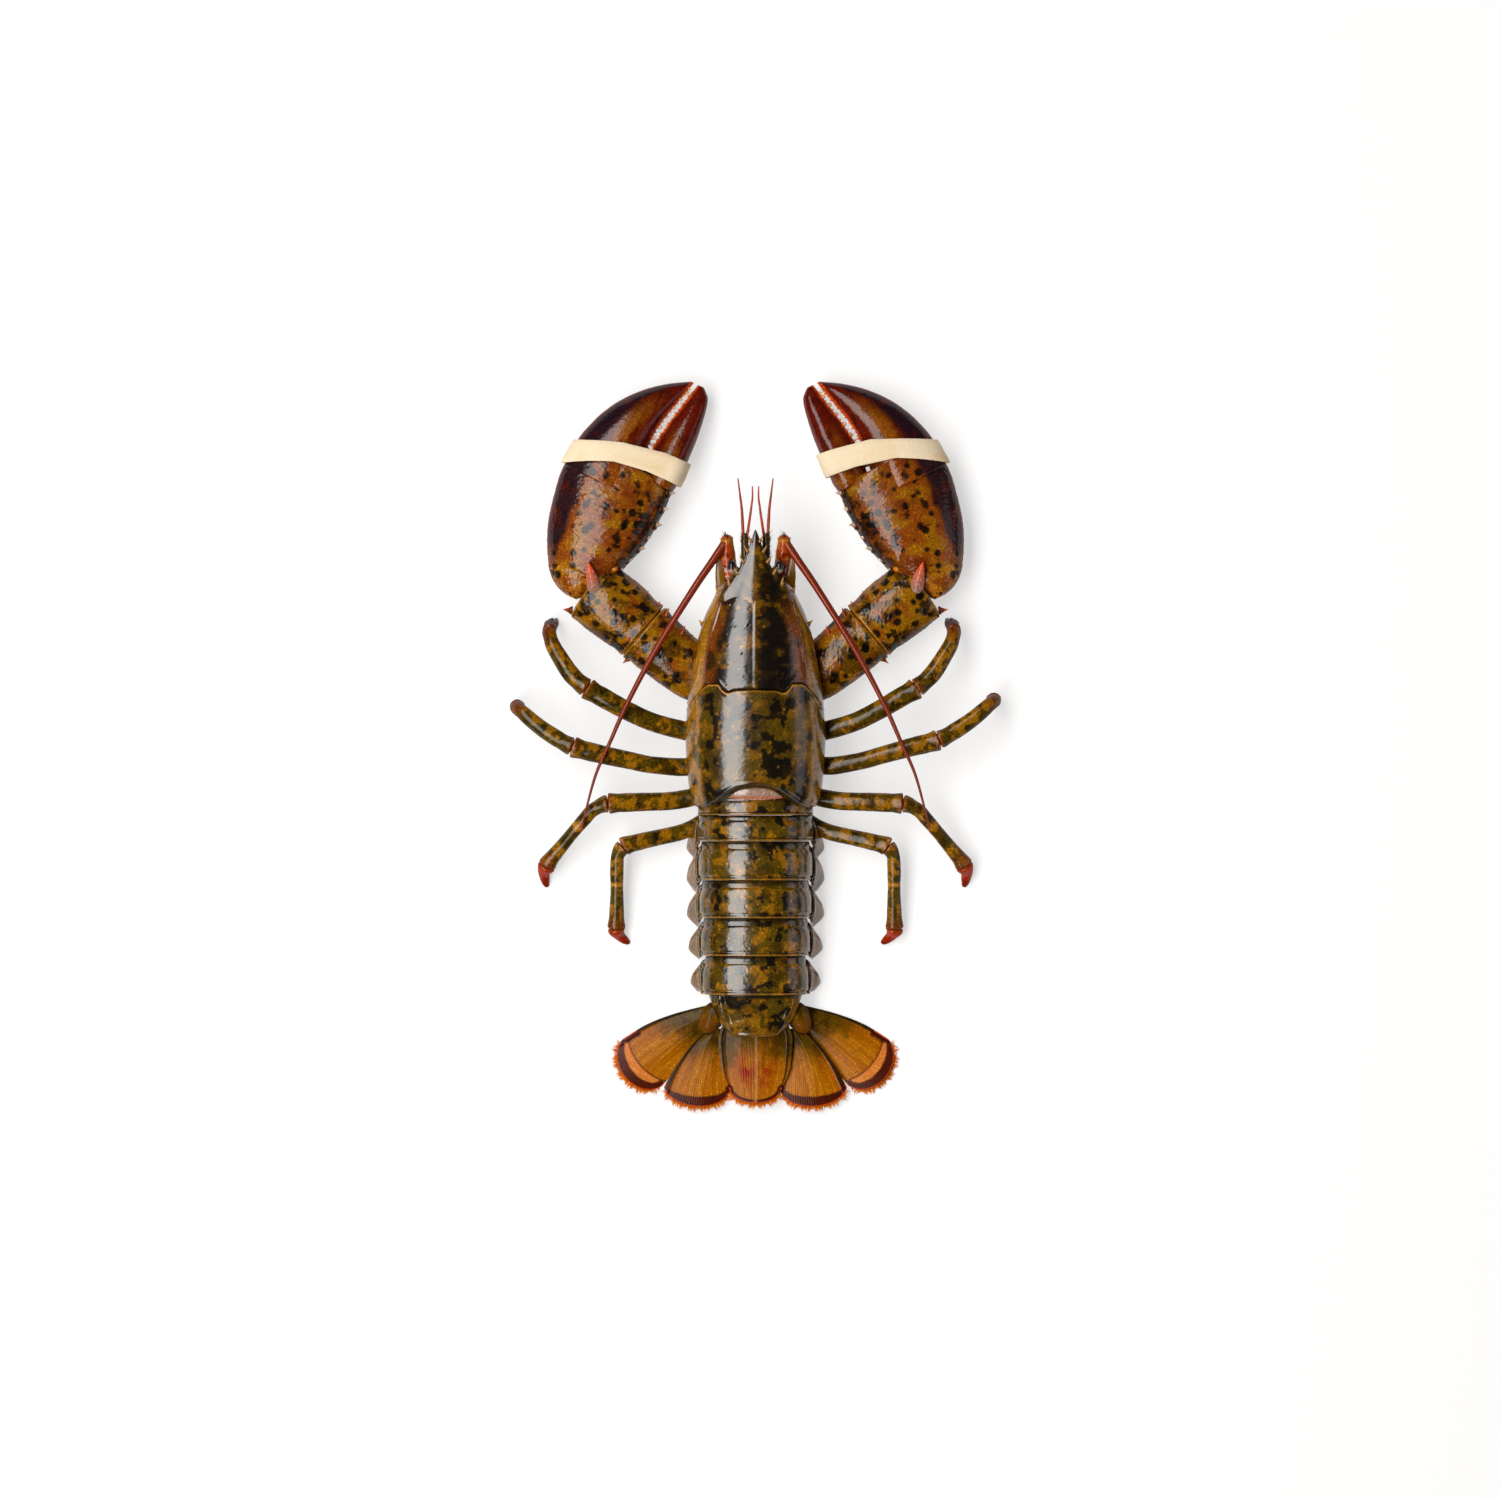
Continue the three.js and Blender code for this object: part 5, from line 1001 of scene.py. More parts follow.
def rim_distance(shape, x, y, near_from, far_from):
    """How far each point of a blade lies from its rim. The rim runs down the near edge from the share
    near_from, round the end and up the far edge to far_from."""
    s = np.linspace(0, 1, 80)
    parts = [blade_place(shape, near_from + (1 - near_from) * s, 0 * s), blade_place(shape, 1 + 0 * s, s),
             blade_place(shape, 1 - (1 - far_from) * s, 1 + 0 * s)]
    rim = np.concatenate([np.stack(part, 1) for part in parts])
    p = np.stack([x, y], -1)[..., None, :]
    return np.sqrt(((p - rim) ** 2).sum(-1)).min(-1)


def blade_relief(kind, t, v):
    """Ribs along a blade in mm: a strong one by its leading edge and fine ones that fan out."""
    if kind == "middle":
        ribs = .4 * hill(np.abs(v - .5) - .43, .02) - .3 * hill(v - .5, .014) + .2 * hill(
            np.abs(v - .5) - .2, .05)
    else:
        ribs = .5 * hill(v - .035, .02) + .35 * hill(v - .42, .03) * (1 - t) + .2 * hill(
            v - .7, .06) * (1 - t)
    fine = np.sin(v * 170 + 2 * np.sin(t * 7)) * step(.2, .5, t) * np.sin(np.pi * v)
    return ribs * (1 - .5 * t) + .06 * fine


def blade_colour(kind, shape, p, t, v, c):
    """Golden brown with faint streaks from an olive root, a maroon border round the end, widest in its
    middle, with an orange rim, and on the outer blades a salmon crescent beyond a dotted seam."""
    streaks = cloud(np.stack([v * 60 + 0 * t, t * 3.5 + 0 * v, 0 * t * v], -1), 1, 81, 3)
    colour = mix(c["fan"], c["rust"] * 1.2, .4 * step(.45, .7, streaks))
    colour = mix(colour, c["amber"], .45 * step(.5, .3, streaks))
    colour = mix(colour, c["olive"], .6 * blotches(p, 4, .52, 86, .16) * step(.9, .3, t))
    wide = {"middle": .2 * np.abs(v - .5) * 2, "outer": .16 * (1 - v), "inner": .1 * (1 - v)}[kind]
    olive = step(.62, .2, t - wide + .3 * (cloud(p, 4, 82) - .5))
    colour = mix(colour, mix(c["olive"] * .8, c["black"], .6 * blotches(p, 2.4, .5, 83, .1)), .93 * olive)
    rim = rim_distance(shape, p[..., 0], p[..., 1],
                       *{"middle": (.99, .99), "outer": (.82, 1), "inner": (.97, .99)}[kind])
    if kind == "middle":
        low = hill(t - .66, .16) * hill(np.abs(v - .5) - .13, .13)
        colour = mix(colour, c["orange"] * .45, .8 * low * (.5 + blotches(p, 3, .5, 84, .1)))
        colour = mix(colour, c["black"], .9 * hill(np.abs(v - .5) - .44, .02) * step(.02, .2, t))
        colour = mix(colour, c["skin"] * .8, .55 * hill(v - .5, .01) * step(.1, .3, t))
        border = step(2.2, 1.5, rim) * (1 - .8 * hill(v - .5, .03))
    else:
        if kind == "outer":
            beyond = np.hypot(p[..., 0] - SEAM_CENTRE[0], p[..., 1] - SEAM_CENTRE[1]) - SEAM_RADIUS
            warm = mix(c["salmon"], c["orange"] * .8, .5 * cloud(p, 2, 85))
            colour = mix(colour, warm, .92 * step(-.2, .3, beyond))
            dots = .55 + .45 * np.sin(v * 110)
            colour = mix(colour, c["maroon"] * .8, .95 * hill(beyond, .4) * step(.2, .6, dots + .3))
        ragged = .5 * (cloud(p, 1.6, 87) - .5)
        border = step(.4, -.4, rim + ragged - 4.6 * np.clip(np.sin(np.pi * v), 0, 1) ** .4)
        colour = mix(colour, c["black"] * 1.3, .9 * step(.06, .035, v) * step(.05, .2, t))
    colour = mix(colour, mix(c["maroon"], c["black"], .35 * cloud(p, 3, 89)), .97 * border)
    return mix(colour, c["orange"], .85 * step(.75, .3, rim))


def fringe(shape, side, c):
    """Hairs round a blade's end, in uneven tufts, each square to the rim."""
    hair, count = size_of("hair"), bpy.context.scene.lobster_sizes.hairs
    rng = np.random.default_rng(7)
    v = np.sort(rng.uniform(.008, .992, count))
    one = np.ones(count)
    a, b = (np.stack(blade_place(shape, one * s, v), -1) for s in (1, .93))
    ahead, behind = (np.stack(blade_place(shape, one, np.clip(v + k, 0, 1)), -1) for k in (.01, -.01))
    across = ahead - behind
    out = np.stack([across[:, 1], -across[:, 0]], -1)
    out *= np.sign((out * (a - b)).sum(-1))[:, None]
    out /= np.linalg.norm(out, axis=1, keepdims=True)
    out += rng.normal(0, .16, out.shape)
    level = shape["under"][-1] + .35
    tufts = .72 + .28 * np.sin(v * 95 + 2 * np.sin(v * 31))
    base = np.stack([-side * a[:, 0], a[:, 1], level + rng.uniform(-.15, .2, count)], -1)
    aim = np.stack([-side * out[:, 0], out[:, 1], rng.normal(0, .05, count)], -1)
    length = hair * rng.uniform(.6, 1, count) * tufts
    return studs(base, aim, length, .13, c["fringe"] * .7, c["fringe"], "hair", 3)


def blade_skin(shape, side, c, kind):
    """A blade between its flat underside and its arched and ribbed top."""
    t = (1 - (1 - np.linspace(0, 1, 130)) ** 1.25)[:, None]
    v = (.5 - .5 * np.cos(np.linspace(0, np.pi, 150)))[None]
    x, y = blade_place(shape, t, v)
    arc = np.sin(np.pi * v)
    thick, under = spread(shape["thick"])(t), spread(shape["under"])(t)
    rise = thick * (.55 + .45 * arc) + shape["camber"] * arc
    top = np.stack([x, y, under + rise + blade_relief(kind, t, v)], -1)
    bottom = np.stack([x, y, under + 0 * rise], -1)
    top[:, [0, -1], 2] = bottom[:, [0, -1], 2] + .5
    top[-1, :, 2] = bottom[-1, :, 2] + .5
    colour = blade_colour(kind, shape, top, t, v, c)
    for grid in (top, bottom):
        grid[..., 0] *= -side
    return walled(top, bottom, colour, mix(colour, c["belly"], .4))


def build_fan():
    c = tints()
    blades = [("telson", -1, "middle", TELSON)]
    blades += [(f"{kind}_{name}", side, kind, shape) for name, side in SIDES
               for kind, shape in (("outer", OUTER_BLADE), ("inner", INNER_BLADE))]
    for name, side, kind, shape in blades:
        skins = [blade_skin(shape, side, c, kind)]
        if kind == "outer":
            skins.append(fan_root(side, c))
        piece, node = ("telson_blade", "telson") if kind == "middle" else (
            f"fan_blade_{name}", f"fan_{name}")
        build(piece, node, "tail_fan", fan_finish(), *skins)
        build(f"fringe_{name}", None, "tail_fan", hair_finish(), fringe(shape, side, c))


def fan_root(side, c):
    """The lobe that joins the side blades to the last ring, dark olive with a brown knuckle."""
    root, near, _ = limb_grid(turned(FAN_ROOT, side), 0, 3, 60, .3, (0, 1))
    mirror = root * (-side, 1, 1)
    colour = mix(ring_colour(mirror, c, 88) * .8, mix(c["rust"], c["olive"], .4), .8 * step(7, 11, near))
    return closed_rings(raised(root, .3 * (cloud(mirror, 2.6, 90, 2) - .5)), colour)


# Claws

def claw_place(side, s, q, z):
    """A point of the claw from s along it, q outwards and z up, at its place on one side."""
    cosine, sine = np.cos(np.radians(CLAW_ANGLE)), np.sin(np.radians(CLAW_ANGLE))
    return np.stack(np.broadcast_arrays(-side * (CLAW_JOINT[0] + s * cosine - q * sine),
                                        CLAW_JOINT[1] + s * sine + q * cosine, z), -1)


def claw_grid(s, outer, inner, height, around):
    """Ellipse-like rings across the claw, |cos|^0.94 wide and |sin|^0.94 high, thinner outwards.
    Returns s, q and z."""
    s = s[:, None]
    turn = np.arange(around)[None] * 2 * np.pi / around
    out = np.sign(np.cos(turn)) * np.abs(np.cos(turn)) ** .94
    rise = np.sign(np.sin(turn)) * np.abs(np.sin(turn)) ** .94
    o, i, h = (curve(k)(s) for k in (outer, inner, height))
    return s + 0 * out, (o + i) / 2 + (o - i) / 2 * out, curve(CLAW_LEVEL)(s) + h * (
        1 - OUTER_THINNING * out) * rise


def claw_colour(p, s, q, c, thumb=False):
    """Golden brown palm with round black spots and blotches, violet black outer margin with a thin red
    edge, mahogany fingers with an orange-brown stripe, and orange along the gap."""
    edge = curve(CLAW_OUTER)(s) - q
    inner = q - curve(PALM_INNER)(s)
    ragged = 3 * (cloud(p, 5, 91, 3) - .5)
    colour = mix(c["rust"], c["ochre"] * 1.1, .8 * blotches(p, 7, .48, 92, .2))
    colour = mix(colour, c["mahogany"], .65 * blotches(p, 8, .52, 99, .16))
    colour = mix(colour, c["amber"], .6 * spots(p, 1.5, .3, .6, 93))
    colour = mix(colour, c["amber"], .5 * step(8, -2, s) * blotches(p, 3, .48, 90, .1))
    colour = mix(colour, c["black"], .9 * blotches(p, 4.4, .63, 89, .05) * step(54, 50, s))
    colour = mix(colour, c["black"], .95 * spots(p, 5.2, 1.7, .9, 94) * step(53, 49, s))
    near_inner = step(8, 3, inner + 1.4 * ragged) * step(54, 50, s)
    dark = mix(c["black"], c["rust"] * .8, blotches(p, 3, .55, 95))
    colour = mix(colour, dark, .9 * near_inner * step(6, 16, s))
    wedge = hill(s - 50, 2.6) * hill(q + 5, 2.6)
    colour = mix(colour, mix(c["olive"], c["amber"], .5), .9 * wedge * (0 if thumb else 1))
    red = step(50, 62, s + 1.6 * ragged)
    finger = mix(c["mahogany"], c["mahogany"] * .5, .8 * blotches(p, 6, .5, 96, .2))
    if thumb:
        stripe = hill(q + 3, 4) * step(84, 60, s)
    else:
        stripe = hill(q - curve([(50, 20), (70, 18.6), (85, 13), (99, 5)])(s), 4) * step(94, 66, s)
    streaks = cloud(np.stack([s * .12, q * .9, 0 * s], -1), 1, 97, 3)
    finger = mix(finger, mix(c["rust"], c["ochre"], .4) * 1.1, .95 * stripe * step(.3, .55, streaks))
    finger = mix(finger, c["amber"], .3 * stripe * spots(p, 1.6, .3, .5, 88))
    colour = mix(colour, finger, red)
    margin = curve([(-9, 2), (4, 5), (15, 8.6), (40, 11.6), (60, 10), (80, 6), (99, 2)])(s)
    band = step(margin + 1.6, margin - 1.6, edge + 1.3 * ragged) * step(-4, 10, s) * (0 if thumb else 1)
    colour = mix(colour, mix(c["violet"], c["mahogany"] * .6, .8 * blotches(p, 4, .55, 98, .1)), .95 * band)
    colour = mix(colour, c["mahogany"] * 1.6, .85 * step(1.3, .5, edge) * (0 if thumb else 1))
    if thumb:
        gap = np.abs(q - curve(THUMB_INNER)(s))
        colour = mix(colour, c["mahogany"] * 1.3, .7 * step(1.6, .5, q - curve(THUMB_OUTER)(s)))
    else:
        gap = np.abs(q - curve(FINGER_INNER)(s)) + 20 * step(56, 52, s)
    return mix(colour, c["orange"], .85 * step(1.5, .6, gap + .3 * ragged) * step(55, 60, s))


def claw_relief(p, s):
    """Grains set close on the palm, finer and lower on the fingers, in mm."""
    d, _ = nearest(p, 1.5, 101, .7)
    grain = size_of("grain")
    return grain * (1 - np.clip(d / .75, 0, 1) ** 2) * (1 - .7 * step(48, 62, s)) + .2 * (
        cloud(p, 8, 102, 2) - .5)


def claw_skin(side, s, outer, inner, height, c, thumb=False, around=190):
    s, q, z = claw_grid(s, outer, inner, height, around)
    z = np.maximum(z, .05)
    p = claw_place(side, s, q, z)
    lift = claw_relief(claw_place(-1, s, q, z), s) * step(.2, 1.2, z)
    if not thumb:
        lift = lift + 1.1 * hill(s - 14, 3.2) * hill(q + 1, 3) * (z > 12)
        lift = lift - .5 * hill(s - 1.5, 1.2) * (z > 12)
    skin = closed_rings(raised(p, lift), claw_colour(claw_place(-1, s, q, z), s, q, c, thumb))
    skin.points[:, 2] = np.maximum(skin.points[:, 2], .02)
    return skin


def gap_teeth(side, stations, edge, lean, c):
    """Teeth along the gap, orange at the root and white at the round top, large and small by turns."""
    s = np.array(stations, float)
    rng = np.random.default_rng(len(stations))
    size = np.where(np.arange(len(s)) % 2, .75, 1.25) * rng.uniform(.8, 1.15, len(s))
    q = curve(edge)(s)
    level = curve(CLAW_LEVEL)(s) + 1 + rng.uniform(-.4, 1.4, len(s))
    base = claw_place(side, s, q, level)
    aim = claw_place(side, s, q + lean, level) - base
    return studs(base, aim, size * 1.15, size * .85, mix(c["orange"], c["amber"], .5), c["horn"], "tooth",
                 8)


def build_claws():
    c = tints()
    for name, side in SIDES:
        palm = claw_skin(side, np.linspace(-9, 54.4, 128), CLAW_OUTER, PALM_INNER, CLAW_HEIGHT, c)
        finger = claw_skin(side, np.linspace(42, CLAW_LENGTH, 116), CLAW_OUTER, FINGER_INNER, CLAW_HEIGHT,
                           c, around=150)
        s, q, length = np.array(PALM_SPINES).T
        level = curve(CLAW_LEVEL)(s)
        base = claw_place(side, s, q, level + 3.4)
        aim = claw_place(side, s + 1.6, q - 4, level + 5) - base
        knobs = studs(base, aim, 1.2, 2.6, c["black"], mix(c["black"], c["rust"], .5), "tooth", 12)
        spines = studs(base, aim, length * 1.05, 2, mix(c["black"], c["rust"], .4),
                       mix(c["amber"], c["horn"], .5), faces=10)
        ball = studs(claw_place(side, np.array([10.5]), np.array([-2.6]), 20), (0, 0, 1), 1.6, 1.9,
                     c["orange"],
                     c["amber"], "tooth", 12)
        teeth = gap_teeth(side, FINGER_TEETH, FINGER_INNER, -1, c)
        build(f"claw_palm_{name}", f"claw_{name}", "claw_shell", grained_finish(), palm, finger, spines,
              knobs, ball,
              teeth)
        thumb = claw_skin(side, np.linspace(52, CLAW_LENGTH, 100), THUMB_INNER, THUMB_OUTER, THUMB_HEIGHT,
                          c, True, 130)
        teeth = gap_teeth(side, THUMB_TEETH, THUMB_INNER, 1, c)
        build(f"claw_thumb_{name}", f"claw_finger_{name}", "claw_shell", grained_finish(), thumb, teeth)


def band_outline(edge, clearance, sides):
    """The outline of a loop drawn tight across both fingers: for each direction the line that touches
    them from outside, moved out by the clearance, and the points where neighbouring lines meet."""
    q = np.arange(-14, 40, .25)
    s = edge(q)
    marks = []
    for outer, inner, height in ((CLAW_OUTER, FINGER_INNER, CLAW_HEIGHT),
                                 (THUMB_INNER, THUMB_OUTER, THUMB_HEIGHT)):
        o, i = curve(outer)(s), curve(inner)(s)
        out = (q - (o + i) / 2) / ((o - i) / 2)
        on = np.abs(out) <= 1
        rise = curve(height)(s) * (1 - OUTER_THINNING * out) * np.clip(1 - np.abs(out) ** 2.13, 0, 1) ** .47
        level = curve(CLAW_LEVEL)(s)
        marks += [np.stack([q, level + rise], 1)[on], np.stack([q, level - rise], 1)[on]]
    marks = np.concatenate(marks)
    turn = np.arange(sides) * 2 * np.pi / sides
    reach = (marks @ np.stack([np.cos(turn), np.sin(turn)])).max(0) + clearance
    after, ahead = turn + 2 * np.pi / sides, np.roll(reach, -1)
    wide = np.sin(2 * np.pi / sides)
    return np.stack([(reach * np.sin(after) - ahead * np.sin(turn)) / wide,
                     (ahead * np.cos(turn) - reach * np.cos(after)) / wide], 1)


def build_bands():
    c = tints()
    for name, side in SIDES:
        thick = size_of("band")
        profile = [(u, w) for u, w in ((0, .25), (.03, .03), (.25, 0), (.5, 0), (.75, 0), (.97, .03),
                                       (1, .25), (1, .75), (.97, .97), (.75, 1.02), (.5, 1.04), (.25, 1.02),
                                       (.03, .97), (0, .75))]
        rings = []
        for u, w in profile:
            def edge(q, u=u):
                lean = BAND_LEAN[name] * np.clip((38 - q) / 50, 0, 1)
                return curve(BAND_REAR)(q) * (1 - u) + curve(BAND_FRONT)(q) * u + lean
            outline = band_outline(edge, BAND_CLEARANCE + w * thick, 128)
            rings.append(claw_place(side, edge(outline[:, 0]), outline[:, 0],
                                    np.maximum(outline[:, 1], .3)))
        grid = np.stack(rings, 1)
        colour = mix(c["band"], c["band"] * (.86, .78, .62), .8 * step(.5, .75, cloud(grid, 14, 111)))
        build(f"elastic_{name}", f"band_{name}", "band", rubber_finish(), looped_rings(grid, colour))


# Arms and legs

def arm_colour(p, near, far, c):
    """Golden brown ground with many round blue-black spots, darker blotches and amber rims."""
    colour = mix(c["ochre"], c["rust"], .8 * blotches(p, 6, .5, 121, .12))
    colour = mix(colour, c["brown"], .7 * blotches(p, 7, .53, 122, .12))
    colour = mix(colour, c["amber"], .5 * spots(p, 1.8, .35, .5, 123))
    colour = mix(colour, c["black"], .95 * spots(p, 5, 2.2, .85, 124))
    colour = mix(colour, c["black"], .9 * blotches(p, 4.4, .59, 125, .05))
    colour = mix(colour, c["amber"], .6 * np.maximum(hill(near - .4, .6), hill(far - .4, .7)))
    return mix(colour, c["belly"], .7 * step(9, 4, p[..., 2]))


def spine_row(rows, side, root, tip):
    """Spines given one by one as x, y, z, direction, length and radius on the left side."""
    return [studs((-side * x, y, z), (-side * dx, dy, dz), length, radius, root, tip)
            for x, y, z, (dx, dy, dz), length, radius in rows]


def build_arms():
    c = tints()
    for name, side in SIDES:
        for part, stations, spines in (("arm", UPPER_ARM, ARM_SPINES), ("wrist", WRIST, WRIST_SPINES)):
            grid, near, far = limb_grid(turned(stations, side), 0, len(stations) - 1, 170, .5,
                                        (0 if part == "arm" else .8, 1.6), .05, .8)
            mirror = grid * (-side, 1, 1)
            d, _ = nearest(mirror, 1.6, 131, .7)
            lift = size_of("grain") * (1 - np.clip(d / .8, 0, 1) ** 2) + .3 * (
                cloud(mirror, 9, 132, 2) - .5)
            skins = [closed_rings(raised(grid, lift), arm_colour(mirror, near, far, c))]
            skins += spine_row(spines, side, mix(c["black"], c["rust"], .4), c["orange"])
            if part == "wrist":
                (x, y, z), (dx, dy, dz), length, radius = THORN
                root = mix(c["skin"], c["violet"], .45)
                skins.append(studs((-side * x, y, z), (-side * dx, dy, dz), .86 * length, radius, root,
                                   c["orange"] * 1.2,
                                   "thorn", 16))
            build(f"{part}_shell_{name}", f"{part}_{name}", "claw_shell", grained_finish(), *skins)


def leg_stations(leg, side):
    """The stations of a leg on one side, where the right ones lie a little nearer the body."""
    stations, _, _, (dx, dy) = leg
    rows = []
    for x, y, z, half, rise in stations:
        share = min(1, max(0, (-x - 25) / 40)) if side > 0 else 0
        rows.append((-side * (x - dx * share), y + dy * share, z, half, rise))
    return rows


def leg_colour(p, near, far, c, seed, back):
    """Olive and golden mottling with dark patches, orange-brown joints and a pale knuckle."""
    colour = mix(c["olive"], c["ochre"] * 1.1, .85 * blotches(p, 4, .47, seed, .08))
    colour = mix(colour, c["olive"] * .4, .85 * blotches(p, 3.6, .54, seed + 1, .06))
    colour = mix(colour, c["black"], .7 * blotches(p, 2.6, .63, seed + 3, .05))
    joint = np.maximum(hill(near - .3, 1.4), hill(far - .3, 1.4))
    colour = mix(colour, c["rust"], .8 * joint)
    colour = mix(colour, mix(c["skin"], c["amber"], .4), .7 * joint * blotches(p, 2, .58, seed + 2))
    if back:
        colour = mix(colour, c["amber"], .8 * hill(np.abs(near - 17) - .2, .7))
    return colour


def leg_skin(rows, first, last, part, number, side, c):
    """One length of a leg, mottled, or red and darker towards the tip where it is a toe."""
    stations = [(x, y, z, half * (.86 if part == "lower" and i == first else 1), rise)
                for i, (x, y, z, half, rise) in enumerate(rows)]
    ends = (0 if part == "upper" else .9, .6 if part == "toe" else .9)
    grid, near, far = limb_grid(stations, first, last, 48, .4, ends, .09)
    mirror = grid * (-side, 1, 1)
    seed = 140 + 11 * number
    if part == "toe":
        length = near[-1, 0]
        dark = c["toe"] if number > 2 else mix(c["mahogany"], c["brown"], .5)
        colour = mix(dark, dark * .5, step(.2 * length, length, near))
        colour = mix(colour, c["rust"], .6 * hill(near, 1.2))
    else:
        colour = leg_colour(mirror, near, far, c, seed, part == "lower" and number > 2)
        if part == "lower":
            red = mix(c["mahogany"], c["rust"], cloud(mirror, 3, seed + 5))
            colour = mix(colour, red, (.7 if number < 3 else .5) * step(9, 2, far))
    grid = raised(grid, .14 * (cloud(mirror, 2.2, seed + 6, 2) - .5))
    grid[..., 2] = np.maximum(grid[..., 2], .02)
    return closed_rings(grid, colour)


def pincer_rows(rows, ankle):
    """A small pincer: a short palm to just over half-way along the first length, and two fingers that
    part by 1.5 mm to either side and meet again at the tip."""
    root, fork, tip = np.array(rows[ankle]), np.array(rows[ankle + 1]), np.array(rows[-1])
    palm = [tuple(root), tuple(root + .28 * (fork - root)), tuple(root + .6 * (fork - root))]
    fingers = []
    for way in (-1, 1):
        steps = [(root + .4 * (fork - root), .5), (fork, 1), ((fork + tip) / 2, .9), (tip, .5)]
        fingers.append([(x + way * part * 1.5, y, z, half * .66, rise * .66)
                        for (x, y, z, half, rise), part in steps])
    return palm, fingers


def build_legs():
    c = tints()
    for number, leg in enumerate(LEGS, 1):
        for name, side in SIDES:
            rows = leg_stations(leg, side)
            _, knee, ankle, _ = leg
            for part, first, last in (("upper", 0, knee), ("lower", knee, ankle),
                                      ("toe", ankle, len(rows) - 1)):
                if part == "toe" and number < 3:
                    palm, fingers = pincer_rows(rows, ankle)
                    skins = [leg_skin(path, 0, len(path) - 1, part, number, side, c)
                             for path in (palm, *fingers)]
                else:
                    skins = [leg_skin(rows, first, last, part, number, side, c)]
                slot = "toe" if part == "toe" else "leg_shell"
                build(f"leg_{number}_{part}_{name}", f"leg{number}_{part}_{name}", slot, leg_finish(),
                      *skins)


# Feelers, eyes and mouth

def build_feelers():
    c = tints()
    for name, side in SIDES:
        stem, near, _ = limb_grid(turned(FEELER_STEM, side), 0, 6, 60, .3, (0, 1.4), .05)
        mirror = stem * (-side, 1, 1)
        colour = mix(c["orange"] * .6, c["mahogany"], .85 * blotches(mirror, 2.6, .5, 151, .1))
        colour = mix(colour, c["amber"], .8 * blotches(mirror, 2, .6, 152, .06))
        colour = mix(colour, c["skin"] * 1.3,
                     .9 * hill(near - 14.5, 2.6) * blotches(mirror, 1.6, .5, 153, .06))
        colour = mix(colour, c["black"],
                     .8 * step(16, 13.5, near) * blotches(mirror * (1, .4, 1), 1.6, .52, 154, .06))
        colour = mix(colour, c["amber"], .7 * hill(near - 27, 1))
        lift = .5 * (cloud(mirror, 2.4, 156, 2) - .5)
        scale, _, far = limb_grid(turned(FEELER_SCALE, side), 0, 3, 30, .4, (0, 0), 0)
        leafy = mix(mix(c["ochre"], c["olive"], .5), c["skin"], .4 * step(9, 2, far))
        build(f"feeler_stem_{name}", f"feeler_base_{name}", "feeler", feeler_finish(),
              closed_rings(raised(stem, lift), colour), closed_rings(scale, leafy),
              bristles(FEELER_STEM, 3, 6, 26, side, c))
        rows = turned([(*row, row[3]) for row in FEELER_WHIP], side)
        whip, near, far = limb_grid(rows, 0, len(rows) - 1, 12, .3, (.8, .2), 0)
        joints = .5 + .5 * np.cos(near * 2 * np.pi / 1.1)
        whip = raised(whip, -.07 * joints * step(0, 30, far))
        colour = mix(c["feeler"] * 1.15, c["feeler"] * .35, .8 * joints ** 3)
        colour = mix(colour, c["rust"], .5 * hill(near, 4))
        build(f"feeler_whip_{name}", f"feeler_{name}", "feeler", feeler_finish(),
              closed_rings(whip, colour))
        skins = [bristles(SMALL_FEELER, 1, 4, 70, side, c)]
        for stations, around, tint in ((SMALL_FEELER, 30, mix(c["brown"], c["olive"], .5)),
                                       (SMALL_OUTER, 10, c["orange"] * .6),
                                       (SMALL_INNER, 10, c["orange"] * .7)):
            grid, near, _ = limb_grid(turned(stations, side), 0, len(stations) - 1, around, .3, (0, .4),
                                      .04)
            shade = blotches(grid * (-side, 1, 1), 1.5, .5, 155)
            skins.append(closed_rings(grid, mix(tint, tint * .5, .7 * shade)))
        build(f"small_feelers_{name}", f"small_feeler_{name}", "feeler", feeler_finish(), *skins)


def bristles(stations, first, last, count, side, c):
    """Short stiff hairs that stand forward on a stem, each about 3 mm long and square to it by half."""
    rows = np.array(turned(stations, side), float)
    rng = np.random.default_rng(count)
    where = rng.uniform(first, last, count)
    x, y, z, half, rise = (np.interp(where, np.arange(len(rows)), rows[:, k]) for k in range(5))
    turn = rng.uniform(0, 2 * np.pi, count)
    out = np.stack([np.cos(turn), rng.uniform(1, 2.4, count), np.abs(np.sin(turn))], -1)
    base = np.stack([x + half * .8 * np.cos(turn), y, z + rise * .8 * np.abs(np.sin(turn))], -1)
    tint = mix(c["brown"], c["rust"], rng.uniform(0, 1, count))
    return studs(base, out, rng.uniform(1.4, 3.4, count), .22, tint[:, None], tint[:, None] * .8, "spine",
                 4)


def build_eyes():
    c = tints()
    for name, side in SIDES:
        lat = np.linspace(-1.55, 1.55, 50)[:, None]
        lon = np.arange(64)[None] * 2 * np.pi / 64
        ball = np.stack([np.cos(lat) * np.cos(lon), np.sin(lat) + 0 * lon, np.cos(lat) * np.sin(lon)], -1)
        ball = ball * (.62 * EYE_RADIUS, EYE_RADIUS, .8 * EYE_RADIUS)
        pale = step(-.8, -1.8, ball[..., 1])
        colour = mix(mix(c["eye"], c["violet"], .5 * cloud(ball, 1.4, 158)), c["skin"] * 1.3, .85 * pale)
        ball = ball + np.array([-side * EYE_CENTRE[0], *EYE_CENTRE[1:]])
        stalk, _, _ = limb_grid(turned(EYE_STALK, side), 0, 2, 30, .3, (0, 0), 0)
        build(f"eye_ball_{name}", f"eye_{name}", "eye", eye_finish(),
              closed_rings(ball, colour), closed_rings(stalk, mix(c["skin"], c["olive"], .6)))


